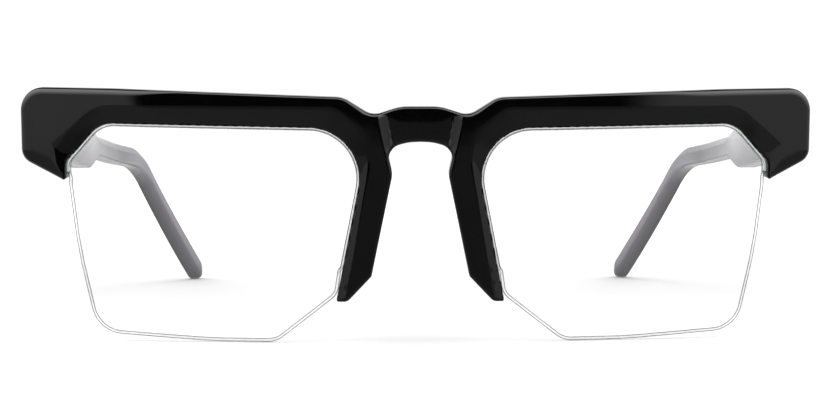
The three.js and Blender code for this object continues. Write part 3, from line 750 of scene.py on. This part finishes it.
def build_temple(side, flip):
    stations = [0.0, 0.12, 0.35] + [0.7 + 0.75 * k for k in range(int(TEMPLE_LENGTH / 0.75))]
    round_start = TEMPLE_LENGTH - TIP_ROUND
    stations = [(t, 1 - 0.06 * max(0.0, 1 - t / 0.35)) for t in stations if t < round_start - 0.1]
    for k in range(15):
        a = math.radians(6 * k)
        stations.append((round_start + (TIP_ROUND - 0.3) * math.sin(a), max(0.05, math.cos(a) ** 0.9)))
    rings, painted_shades, along = [], [], []
    for t, scale in stations:
        ring, depth = temple_ring(t, scale)
        rings.append(flip(ring))
        painted_shades.append(depth)
        along.append(np.full(len(ring), t / TEMPLE_LENGTH))
    # The depth mark carries the painted light and shade across the arm; along carries the acetate's own fade
    # from hinge to tip.
    marks = {"depth": np.concatenate(painted_shades), "along": np.concatenate(along)}
    obj = loft(f"{side}_temple_arm", rings, 40, marks)
    flatten_below(obj)
    return obj


def flatten_below(obj):
    """Nothing reaches under the table that the glasses stand on."""
    for v in obj.data.vertices:
        v.co.z = max(v.co.z, 0.00001)


# ------------------------------------------------------------------ pads and blocks
def bend_slope(x):
    return x / math.sqrt(BEND_RADIUS ** 2 - x * x)


def pad_ring(y, shift, shrink):
    """Outline of the pad y behind the front, shifted towards the lens and shrunk."""
    low, high = PAD_LOW + shrink * 1.4, PAD_HIGH - shrink * 1.4
    r = PAD_ROUND - shrink * 0.5

    def nose_side(z):
        return PAD_NOSE_SIDE - PAD_NOSE_LEAN * (z - PAD_LOW) + shift * 0.85

    def lens_side(z):
        return PAD_LENS_SIDE - PAD_LENS_LEAN * (z - PAD_LOW) + shift * 0.35 - shrink * 0.5

    corners = [(nose_side(low), low, r), (lens_side(low), low, r), (lens_side(high), high, r),
               (nose_side(high), high, r)]
    loop = rounded_loop(corners, 9)
    depth = THICKNESS + bend(PAD_MIDDLE) + y + bend_slope(PAD_MIDDLE) * (loop[:, 0] - PAD_MIDDLE)
    return np.stack([loop[:, 0], depth, loop[:, 1]], 1)


def build_pad(side, flip):
    rings = []
    for y in np.linspace(-0.15, PAD_BACK, 8):
        rings.append(pad_ring(y, 0.4 * max(0.0, y), 0.09 * max(0.0, y)))
    for k in range(1, 8):
        c, s = cos_sin(90 * k / 7)
        rings.append(pad_ring(PAD_BACK + 1.9 * s, 2.12 + 1.5 * s, 0.48 + 1.45 * (1 - c)))
    return loft(f"{side}_pad", [flip(r) for r in rings])


def build_block(side, flip):
    xs = np.linspace(BLOCK_OUTER, BLOCK_INNER, 12)
    seat = [(x, bend(x) + THICKNESS - 0.1, 0.0) for x in xs]
    back = [(BLOCK_INNER, BLOCK_SEAT, 0.5), (BLOCK_STEP, BLOCK_SEAT, 0.25), (BLOCK_STEP, BLOCK_BACK, 0.35),
            (BLOCK_OUTER, BLOCK_BACK, 0.6)]
    plan = spaced(rounded_loop(seat + back, 12), 1.2)
    normals = inward(plan)
    step = np.where(plan[:, 0] < 65.26, 1.1, 0)
    floor = BLOCK_FLOOR + np.maximum(0, 65.25 - plan[:, 0]) * 1.1746 + step
    rings = []
    for z0, sign in ((floor, -1), (np.full(len(plan), BLOCK_TOP), 1)):
        for angle in ((90, 60, 30, 0) if sign < 0 else (0, 30, 60, 90)):
            c, s = cos_sin(angle)
            p = plan + normals * BLOCK_EDGE * (1 - c)
            rings.append(np.stack([p[:, 0], p[:, 1], z0 - sign * BLOCK_EDGE * (1 - s)], 1))
    return loft(f"{side}_block", [flip(r) for r in rings], 35)


# ------------------------------------------------------------------ hinges
def rounded_box_rings(x0, x1, y0, y1, z0, z1, r):
    """Rings of an upright box with every edge rounded."""
    plan = rounded_loop([(x0, y0, r), (x1, y0, r), (x1, y1, r), (x0, y1, r)], 18)
    normals = inward(plan)
    rings = []
    for z, sign in ((z0, -1), (z1, 1)):
        for angle in ((90, 45, 0) if sign < 0 else (0, 45, 90)):
            c, s = cos_sin(angle)
            p = plan + normals * r * 0.8 * (1 - c)
            rings.append(np.stack([p[:, 0], p[:, 1], np.full(len(p), z - sign * r * 0.8 * (1 - s))], 1))
    return rings


def turned_rings(profile, sides=48):
    """Rings of a part turned about the hinge axis from (radius, z) pairs."""
    angles = np.arange(sides) * 2 * math.pi / sides
    return [np.stack([HINGE[0] + r * np.cos(angles), HINGE[1] + r * np.sin(angles), np.full(sides, z)], 1)
            for r, z in profile]


def barrel_span(k):
    """Bottom and top of barrel k, counted from the lowest."""
    middle = HINGE[2] + (k - 2) * BARREL_PITCH
    return middle - BARREL_LENGTH / 2, middle + BARREL_LENGTH / 2


def barrel_profile(k):
    low, high = barrel_span(k)
    r, edge, chamfer = BARREL_RADIUS, BARREL_EDGE, BARREL_EDGE * 0.3
    return [(r - edge, low), (r - chamfer, low + chamfer), (r, low + edge),
            (r, high - edge), (r - chamfer, high - chamfer), (r - edge, high)]


def solid_from(loops, flip):
    points = place(flip(np.concatenate(loops)))
    return new_object("part", points, skin_faces(len(loops), len(loops[0])))


def boolean(target, tool, operation):
    mod = target.modifiers.new("boolean", "BOOLEAN")
    mod.operation = operation
    mod.solver = "EXACT"
    mod.object = tool
    graph = bpy.context.evaluated_depsgraph_get()
    mesh = bpy.data.meshes.new_from_object(target.evaluated_get(graph))
    target.modifiers.clear()
    target.data = mesh
    bpy.data.objects.remove(tool)
    return target


def fused(name, parts, bore, flip):
    """Parts joined into one body, with the screw's bore cut through it where it has one."""
    body = parts[0]
    for part in parts[1:]:
        boolean(body, part, "UNION")
    if bore:
        hole = solid_from(turned_rings([(BORE_RADIUS, HINGE[2] - 8), (BORE_RADIUS, HINGE[2] + 8)], 32), flip)
        boolean(body, hole, "DIFFERENCE")
    body.name = name
    body.data.name = name
    body.data.shade_smooth()
    body.data.set_sharp_from_angle(angle=math.radians(32))
    return body


def build_front_leaf(side, flip):
    half = 2.5 * BARREL_PITCH + 0.3
    plate = rounded_box_rings(LEAF_INNER, LEAF_OUTER, LEAF_SEAT - LEAF, LEAF_SEAT,
                              HINGE[2] - half, HINGE[2] + half, LEAF_EDGE)
    parts = [solid_from(plate, flip)]
    for k in (0, 2, 4):
        low, high = barrel_span(k)
        knuckle = rounded_box_rings(62.4, 64.8, 13.25, 14.7, low + 0.01, high - 0.01, KNUCKLE_EDGE)
        parts.append(solid_from(knuckle, flip))
        parts.append(solid_from(turned_rings(barrel_profile(k)), flip))
    return fused(f"{side}_hinge_front_leaf", parts, True, flip)


def build_temple_leaf(side, flip):
    half = 2.5 * BARREL_PITCH
    plate = rounded_box_rings(TEMPLE_INNER - 0.15, TEMPLE_INNER + LEAF - 0.1, TEMPLE_START + 0.3,
                              TEMPLE_START + LEAF_REACH, HINGE[2] - half, HINGE[2] + half, LEAF_EDGE)
    parts = [solid_from(plate, flip)]
    for k in (1, 3):
        low, high = barrel_span(k)
        knuckle = rounded_box_rings(HINGE[0] + 0.1, TEMPLE_INNER + 0.25, HINGE[1] + 0.45, HINGE[1] + 1.3,
                                    low + 0.01, high - 0.01, KNUCKLE_EDGE)
        parts.append(solid_from(knuckle, flip))
        parts.append(solid_from(turned_rings(barrel_profile(k)), flip))
    return fused(f"{side}_hinge_temple_leaf", parts, True, flip)


def build_screw(side, flip):
    top = barrel_span(4)[1] + 0.03
    low = barrel_span(0)[0] - 0.2
    profile = [(0.3, low), (SCREW_RADIUS, low + 0.15), (SCREW_RADIUS, top), (SCREW_HEAD - 0.1, top),
               (SCREW_HEAD, top + 0.08), (SCREW_HEAD, top + 0.3)]
    for angle in (20, 40, 60, 80):
        c, s = cos_sin(angle)
        profile.append((SCREW_HEAD * (0.12 + 0.88 * c), top + 0.3 + 0.28 * s))
    body = solid_from(turned_rings(profile), flip)
    slot = solid_from(rounded_box_rings(HINGE[0] - 2, HINGE[0] + 2, HINGE[1] - 0.14, HINGE[1] + 0.14,
                                        top + 0.33, top + 2, 0.02), flip)
    boolean(body, slot, "DIFFERENCE")
    return fused(f"{side}_screw", [body], False, flip)


# ------------------------------------------------------------------ materials
def material(name, base, roughness, metallic=0.0, ior=1.5):
    m = bpy.data.materials.new(name)
    m.use_nodes = True
    shader = m.node_tree.nodes["Principled BSDF"]
    shader.inputs["Base Color"].default_value = (*base, 1)
    shader.inputs["Roughness"].default_value = roughness
    shader.inputs["Metallic"].default_value = metallic
    shader.inputs["IOR"].default_value = ior
    return m, m.node_tree, shader


def object_coords(tree):
    return tree.nodes.new("ShaderNodeTexCoord").outputs["Object"]


def noise(tree, vector, scale, detail=4.0, roughness=0.5):
    node = tree.nodes.new("ShaderNodeTexNoise")
    node.inputs["Scale"].default_value = scale
    node.inputs["Detail"].default_value = detail
    node.inputs["Roughness"].default_value = roughness
    tree.links.new(vector, node.inputs["Vector"])
    return node.outputs["Fac"]


def ramp(tree, value, stops):
    node = tree.nodes.new("ShaderNodeValToRGB")
    elements = node.color_ramp.elements
    elements[0].position, elements[0].color = stops[0]
    elements[1].position, elements[1].color = stops[-1]
    for position, colour in stops[1:-1]:
        elements.new(position).color = colour
    tree.links.new(value, node.inputs["Fac"])
    return node.outputs["Color"]


def grey(v, tint=(1, 1, 1)):
    return (v * tint[0], v * tint[1], v * tint[2], 1)


def map_range(tree, value, low, high, to_low, to_high):
    node = tree.nodes.new("ShaderNodeMapRange")
    for name, number in (("From Min", low), ("From Max", high), ("To Min", to_low), ("To Max", to_high)):
        node.inputs[name].default_value = number
    tree.links.new(value, node.inputs["Value"])
    return node.outputs["Result"]


def bump(tree, shader, height, strength, distance):
    node = tree.nodes.new("ShaderNodeBump")
    node.inputs["Strength"].default_value = strength
    node.inputs["Distance"].default_value = distance
    tree.links.new(height, node.inputs["Height"])
    tree.links.new(node.outputs["Normal"], shader.inputs["Normal"])


def stretched(tree, vector, scale):
    node = tree.nodes.new("ShaderNodeMapping")
    node.inputs["Scale"].default_value = scale
    tree.links.new(vector, node.inputs["Vector"])
    return node.outputs["Vector"]


def mark(tree, name):
    node = tree.nodes.new("ShaderNodeAttribute")
    node.attribute_name = name
    return node.outputs["Fac"]


def facing(tree):
    """0 where the surface faces the eye, 1 at its rim."""
    node = tree.nodes.new("ShaderNodeLayerWeight")
    node.inputs["Blend"].default_value = 0.5
    return node.outputs["Facing"]


def math_node(tree, operation, *values):
    node = tree.nodes.new("ShaderNodeMath")
    node.operation = operation
    for socket, value in zip(node.inputs, values):
        feed(tree, socket, value)
    return node.outputs[0]


def feed(tree, socket, value):
    """Set a socket to a number, or link it to another node's output."""
    if isinstance(value, (int, float)):
        socket.default_value = value
    else:
        tree.links.new(value, socket)


def blended(tree, a, b, factor):
    """a where factor is 0, b where it is 1."""
    node = tree.nodes.new("ShaderNodeMix")
    feed(tree, node.inputs["A"], a)
    feed(tree, node.inputs["B"], b)
    tree.links.new(factor, node.inputs["Factor"])
    return node.outputs["Result"]


def band(tree, value, low, high):
    """0 below low, 1 above high, smooth between; works either way round."""
    output = map_range(tree, value, low, high, 0, 1)
    output.node.interpolation_type = "SMOOTHSTEP"
    return output


def times(tree, a, b):
    """Product of two colours."""
    node = tree.nodes.new("ShaderNodeMix")
    node.data_type = "RGBA"
    node.blend_type = "MULTIPLY"
    node.inputs["Factor"].default_value = 1.0
    tree.links.new(a, node.inputs["A"])
    tree.links.new(b, node.inputs["B"])
    return node.outputs["Result"]


def black_acetate():
    m, tree, shader = material("black_acetate_polished", (0.001, 0.001, 0.001), 0.06, ior=1.49)
    coords = object_coords(tree)
    cloud = noise(tree, coords, 90, 5, 0.6)
    tone = ramp(tree, cloud, [(0.3, grey(0.0008)), (0.7, grey(0.0016, (1, 0.98, 1.06)))])
    tree.links.new(tone, shader.inputs["Base Color"])
    haze = noise(tree, coords, 700, 6, 0.65)
    tree.links.new(map_range(tree, haze, 0.3, 0.7, 0.03, 0.07), shader.inputs["Roughness"])
    buff = noise(tree, stretched(tree, coords, (1, 1, 2.2)), 45, 2, 0.4)
    bump(tree, shader, buff, 0.04, 0.0006)
    return m


def smoke_acetate():
    m, tree, shader = material("smoke_acetate_polished", (0.3, 0.29, 0.31), 0.2, ior=1.49)
    coords = object_coords(tree)
    wisps = noise(tree, stretched(tree, coords, (1, 0.35, 1)), 120, 5, 0.55)
    along = math_node(tree, "ADD", mark(tree, "along"), math_node(tree, "MULTIPLY", wisps, 0.08))
    tint, dusk = (1, 0.985, 1.035), (1, 0.965, 1.06)
    tone = ramp(tree, along, [(0.04, grey(0.5, tint)), (0.24, grey(0.47, tint)), (0.36, grey(0.29, tint)),
                              (0.5, grey(0.17, dusk)), (0.64, grey(0.085, dusk)), (1.0, grey(0.068, dusk))])
    # Multiplied into the tint: the painted light and shade from the depth mark.
    depth = mark(tree, "depth")
    shade = tree.nodes.new("ShaderNodeCombineXYZ")
    for socket in shade.inputs:
        tree.links.new(depth, socket)
    tree.links.new(times(tree, tone, shade.outputs[0]), shader.inputs["Base Color"])
    haze = noise(tree, coords, 600, 4, 0.6)
    tree.links.new(map_range(tree, haze, 0.3, 0.7, 0.14, 0.24), shader.inputs["Roughness"])
    shader.inputs["Subsurface Weight"].default_value = 0.3
    shader.inputs["Subsurface Radius"].default_value = (0.004, 0.0038, 0.0042)
    shader.inputs["Subsurface Scale"].default_value = 0.5
    buff = noise(tree, stretched(tree, coords, (1, 0.5, 1)), 60, 2, 0.4)
    bump(tree, shader, buff, 0.06, 0.0006)
    return m


def clear_lens():
    """Mirror of a few percent over nothing: a coated lens, with painted shade on its ground edge, which is
    drawn dark grey and nearly opaque.
    """
    m, tree, shader = material("clear_lens_coated", (0.9, 0.93, 0.92), 0.02, metallic=1.0)
    coords = object_coords(tree)
    # Painted shade: the ground edge turns dark grey and nearly opaque by the edge mark.
    tone = ramp(tree, mark(tree, "edge"), [(0.0, (0.9, 0.93, 0.92, 1)), (1.0, (0.1, 0.11, 0.11, 1))])
    tree.links.new(tone, shader.inputs["Base Color"])
    smear = noise(tree, coords, 25, 3, 0.5)
    tree.links.new(map_range(tree, smear, 0.35, 0.7, 0.01, 0.05), shader.inputs["Roughness"])
    face = math_node(tree, "POWER", facing(tree), 3.0)
    face = math_node(tree, "MULTIPLY_ADD", face, 0.3, 0.012)
    ground = math_node(tree, "MULTIPLY", mark(tree, "edge"), 0.75)
    tree.links.new(math_node(tree, "ADD", face, ground), shader.inputs["Alpha"])
    return m


def clear_nylon(name, shade, centre, rim, painted_glow):
    """Clear drawn nylon, drawn in a flat colour that is nearly opaque at its rims and thin in its middle,
    where the background shows through: on the cord a dark grey, painted shade for the dark its clear rims
    show; on the liner a near white with an emission glow, painted light.
    """
    m, tree, shader = material(name, shade, 0.25, ior=1.53)
    coords = object_coords(tree)
    drawn = noise(tree, coords, 900, 3, 0.5)
    tree.links.new(map_range(tree, drawn, 0.3, 0.7, 0.2, 0.34), shader.inputs["Roughness"])
    tone = ramp(tree, drawn, [(0.3, (*[c * 0.92 for c in shade], 1)), (0.7, (*shade, 1))])
    tree.links.new(tone, shader.inputs["Base Color"])
    tree.links.new(map_range(tree, facing(tree), 0.05, 0.45, centre, rim), shader.inputs["Alpha"])
    # Painted light: an emission glow in the nylon's own colour.
    shader.inputs["Emission Color"].default_value = (*shade, 1)
    shader.inputs["Emission Strength"].default_value = painted_glow
    return m


def metal(name, base, low, high, grain):
    m, tree, shader = material(name, base, 0.3, metallic=1.0)
    coords = object_coords(tree)
    lines = noise(tree, stretched(tree, coords, grain), 400, 5, 0.6)
    tree.links.new(map_range(tree, lines, 0.3, 0.7, low, high), shader.inputs["Roughness"])
    tone = ramp(tree, lines, [(0.25, (*[c * 0.82 for c in base], 1)), (0.75, (*base, 1))])
    tree.links.new(tone, shader.inputs["Base Color"])
    bump(tree, shader, lines, 0.12, 0.00008)
    return m


# ------------------------------------------------------------------ put the pieces on the frame
def fit_out(obj, body, nodes, mat):
    obj.data.materials.clear()
    obj.data.materials.append(mat)
    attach(obj, body)
    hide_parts(*nodes)


def fit_pair(pair, node, mat, moves=False):
    for obj, side in zip(pair, ("left", "right")):
        body = f"{side}_temple" if moves else "front"
        fit_out(obj, body, [f"{side}_{node}"], mat)


def dress_glasses():
    black = black_acetate()
    smoke = smoke_acetate()
    lens = clear_lens()
    # Painted shade in the cord's dark grey; painted light in the liner's near white and glow.
    cord = clear_nylon("nylon_cord_clear", (0.16, 0.165, 0.165), 0.04, 0.95, 0.0)
    liner = clear_nylon("nylon_liner_clear", (0.93, 0.94, 0.94), 0.9, 0.95, 0.3)
    steel = metal("hinge_nickel_silver", (0.62, 0.61, 0.59), 0.2, 0.38, (1, 1, 12))
    bright = metal("screw_bright_steel", (0.75, 0.75, 0.76), 0.12, 0.24, (1, 1, 1))
    wire = metal("core_wire_drawn", (0.55, 0.54, 0.52), 0.25, 0.4, (6, 1, 6))
    fit_out(build_front(), "front", ["front"], black)
    fit_pair(both_sides(build_block), "endpiece_block", black)
    fit_pair(both_sides(build_pad), "nose_pad", black)
    fit_pair(both_sides(build_lens), "lens", lens)
    fit_pair(both_sides(build_cord), "lower_cord", cord)
    fit_pair(both_sides(build_liner), "upper_liner", liner)
    fit_pair(both_sides(build_front_leaf), "front_hinge", steel)
    fit_pair(both_sides(build_screw), "hinge_screw", bright)
    fit_pair(both_sides(build_temple_leaf), "temple_hinge", steel, moves=True)
    fit_pair(both_sides(build_temple), "temple", smoke, moves=True)
    for side in ("left", "right"):
        node = frame["nodes"][f"{side}_core_wire"]
        node.data.materials.clear()
        node.data.materials.append(wire)


# ------------------------------------------------------------------ studio
# The floor in metres, and the tones of its pale paper between two places in front of and behind the glasses:
# painted light, lighter under the front to wash out its shadow and far off to hide the horizon, darker round
# the temple tips so that their soft shadows show.
FLOOR_HALF = 2.0
FLOOR_FAR = 1.6
FLOOR_SINK = 0.00002
PAPER_NEAR = -0.12
PAPER_FAR = 0.28
PAPER_PAINTED_TONES = [(0.0, 0.53), (0.12, 0.59), (0.18, 0.64), (0.25, 0.57), (0.36, 0.475), (0.5, 0.47), (0.66, 0.5),
               (1.0, 0.6)]

# The studio round the glasses, seen only in reflections and as light: angles in degrees, heading and height.
HORIZON = -8.2
LEFT_CARD = (28.0, 29.5)
RIGHT_CARD = (22.0, 28.0)
CARD_END = (100.0, 140.0)
CARD_TOP = 42.0
BACK_START = (105.0, 150.0)
BACK_HEIGHT = (40.0, 15.0)
GROUND_RISE = (-12.0, -30.0)
CEILING = (44.0, 58.0)
CARD_LIGHT = 0.8
CARD_TOP_LIGHT = 4.4
BACK_LIGHT = 0.8
GROUND_FAR = 0.19
GROUND_NEAR = 0.39
GROUND_SIDE = 0.4
CEILING_LIGHT = 4.4
BACKDROP = 1.05

# The camera, from the origin of the upright frame in mm, turned by angles in radians.
CAMERA_PLACE = (-6.5, -300.0, 38.0)
CAMERA_PITCH = 0.0442
CAMERA_YAW = 0.0437
CAMERA_SENSOR = 36.0
CAMERA_LENS = 71.73913
CAMERA_SHIFT = -0.0516908

KEY_PLACE = (0.0, 0.45, 0.78)
KEY_SIZE = (1.6, 1.2)
KEY_POWER = 7.0


def add_floor():
    half, far = FLOOR_HALF, FLOOR_FAR
    mesh = bpy.data.meshes.new("studio_floor")
    corners = [(-half, -half, 0), (half, -half, 0), (half, far, 0), (-half, far, 0)]
    mesh.from_pydata(corners, [], [(0, 1, 2, 3)])
    floor = bpy.data.objects.new("studio_floor", mesh)
    bpy.context.scene.collection.objects.link(floor)
    m, tree, shader = material("floor_paper", (0.56, 0.56, 0.56), 0.9)
    split = tree.nodes.new("ShaderNodeSeparateXYZ")
    tree.links.new(object_coords(tree), split.inputs[0])
    depth = map_range(tree, split.outputs["Y"], PAPER_NEAR, PAPER_FAR, 0, 1)
    # Painted light on the paper: lighter under the front and far off, darker round the temple tips.
    painted_paper_light = ramp(tree, depth, [(place_at, grey(tone)) for place_at, tone in PAPER_PAINTED_TONES])
    tree.links.new(painted_paper_light, shader.inputs["Base Color"])
    shader.inputs["Specular IOR Level"].default_value = 0.1
    mesh.materials.append(m)
    floor.location.z = -FLOOR_SINK
    floor.visible_glossy = False


def degree_band(tree, value, limits):
    return band(tree, value, math.radians(limits[0]), math.radians(limits[1]))


def studio_light(tree):
    """Strength of the studio's light by direction: cards at both sides, a ceiling ahead, the ground below."""
    coords = tree.nodes.new("ShaderNodeTexCoord").outputs["Generated"]
    split = tree.nodes.new("ShaderNodeSeparateXYZ")
    tree.links.new(coords, split.inputs[0])
    x, y, z = split.outputs
    towards = math_node(tree, "MULTIPLY", y, -1.0)
    heading = math_node(tree, "ARCTAN2", x, towards)
    rise = math_node(tree, "ARCSINE", z)
    right_card = degree_band(tree, heading, RIGHT_CARD)
    left_card = degree_band(tree, math_node(tree, "MULTIPLY", heading, -1.0), LEFT_CARD)
    side = math_node(tree, "MAXIMUM", right_card, left_card)
    turned = math_node(tree, "ABSOLUTE", heading)
    side_card = math_node(tree, "MULTIPLY", side, degree_band(tree, turned, CARD_END[::-1]))
    card = map_range(tree, rise, 0.0, math.radians(CARD_TOP), CARD_LIGHT, CARD_TOP_LIGHT)
    wall = math_node(tree, "MULTIPLY", side_card, card)
    ground = blended(tree, GROUND_FAR, GROUND_NEAR, degree_band(tree, rise, GROUND_RISE))
    ground = blended(tree, ground, GROUND_SIDE, side)
    above = degree_band(tree, rise, (HORIZON - 0.5, HORIZON + 0.5))
    back, lifted = degree_band(tree, turned, BACK_START), degree_band(tree, rise, BACK_HEIGHT)
    behind = math_node(tree, "MULTIPLY", back, lifted)
    round_about = math_node(tree, "MULTIPLY_ADD", behind, BACK_LIGHT, blended(tree, ground, wall, above))
    ahead = band(tree, towards, -0.05, 0.12)
    roof = math_node(tree, "MULTIPLY", ahead, degree_band(tree, rise, CEILING))
    return blended(tree, round_about, CEILING_LIGHT, roof)


def add_world():
    """Plain white to the eye; for light and reflections a studio of soft cards round the glasses."""
    world = bpy.data.worlds.new("studio")
    bpy.context.scene.world = world
    world.use_nodes = True
    tree = world.node_tree
    tree.nodes.clear()
    light = tree.nodes.new("ShaderNodeBackground")
    tree.links.new(studio_light(tree), light.inputs["Strength"])
    seen = tree.nodes.new("ShaderNodeBackground")
    seen.inputs["Strength"].default_value = BACKDROP
    seen.inputs["Color"].default_value = (1, 1, 1, 1)
    path = tree.nodes.new("ShaderNodeLightPath")
    blend = tree.nodes.new("ShaderNodeMixShader")
    tree.links.new(path.outputs["Is Camera Ray"], blend.inputs[0])
    tree.links.new(light.outputs[0], blend.inputs[1])
    tree.links.new(seen.outputs[0], blend.inputs[2])
    out = tree.nodes.new("ShaderNodeOutputWorld")
    tree.links.new(blend.outputs[0], out.inputs["Surface"])


def add_camera():
    data = bpy.data.cameras.new("camera")
    camera = bpy.data.objects.new("camera", data)
    bpy.context.scene.collection.objects.link(camera)
    bpy.context.scene.camera = camera
    data.sensor_width = CAMERA_SENSOR
    data.lens = CAMERA_LENS
    data.shift_x = CAMERA_SHIFT
    data.clip_start = 0.01
    data.clip_end = 20
    camera.location = Vector(CAMERA_PLACE) * MM + Vector(ORIGIN) * MM
    camera.rotation_euler = (math.pi / 2 - CAMERA_PITCH, 0, -CAMERA_YAW)


def add_key_light():
    """A large soft panel above and behind the glasses, aimed at the place where they stand."""
    data = bpy.data.lights.new("key", "AREA")
    data.shape = "RECTANGLE"
    data.size, data.size_y = KEY_SIZE
    data.energy = KEY_POWER
    lamp = bpy.data.objects.new("key", data)
    bpy.context.scene.collection.objects.link(lamp)
    lamp.location = KEY_PLACE
    lamp.rotation_euler = (-Vector(KEY_PLACE)).to_track_quat("-Z", "Y").to_euler()
    lamp.visible_camera = False
    lamp.visible_glossy = False


dress_glasses()
add_floor()
add_world()
add_camera()
add_key_light()
bpy.context.scene.view_settings.view_transform = "Standard"
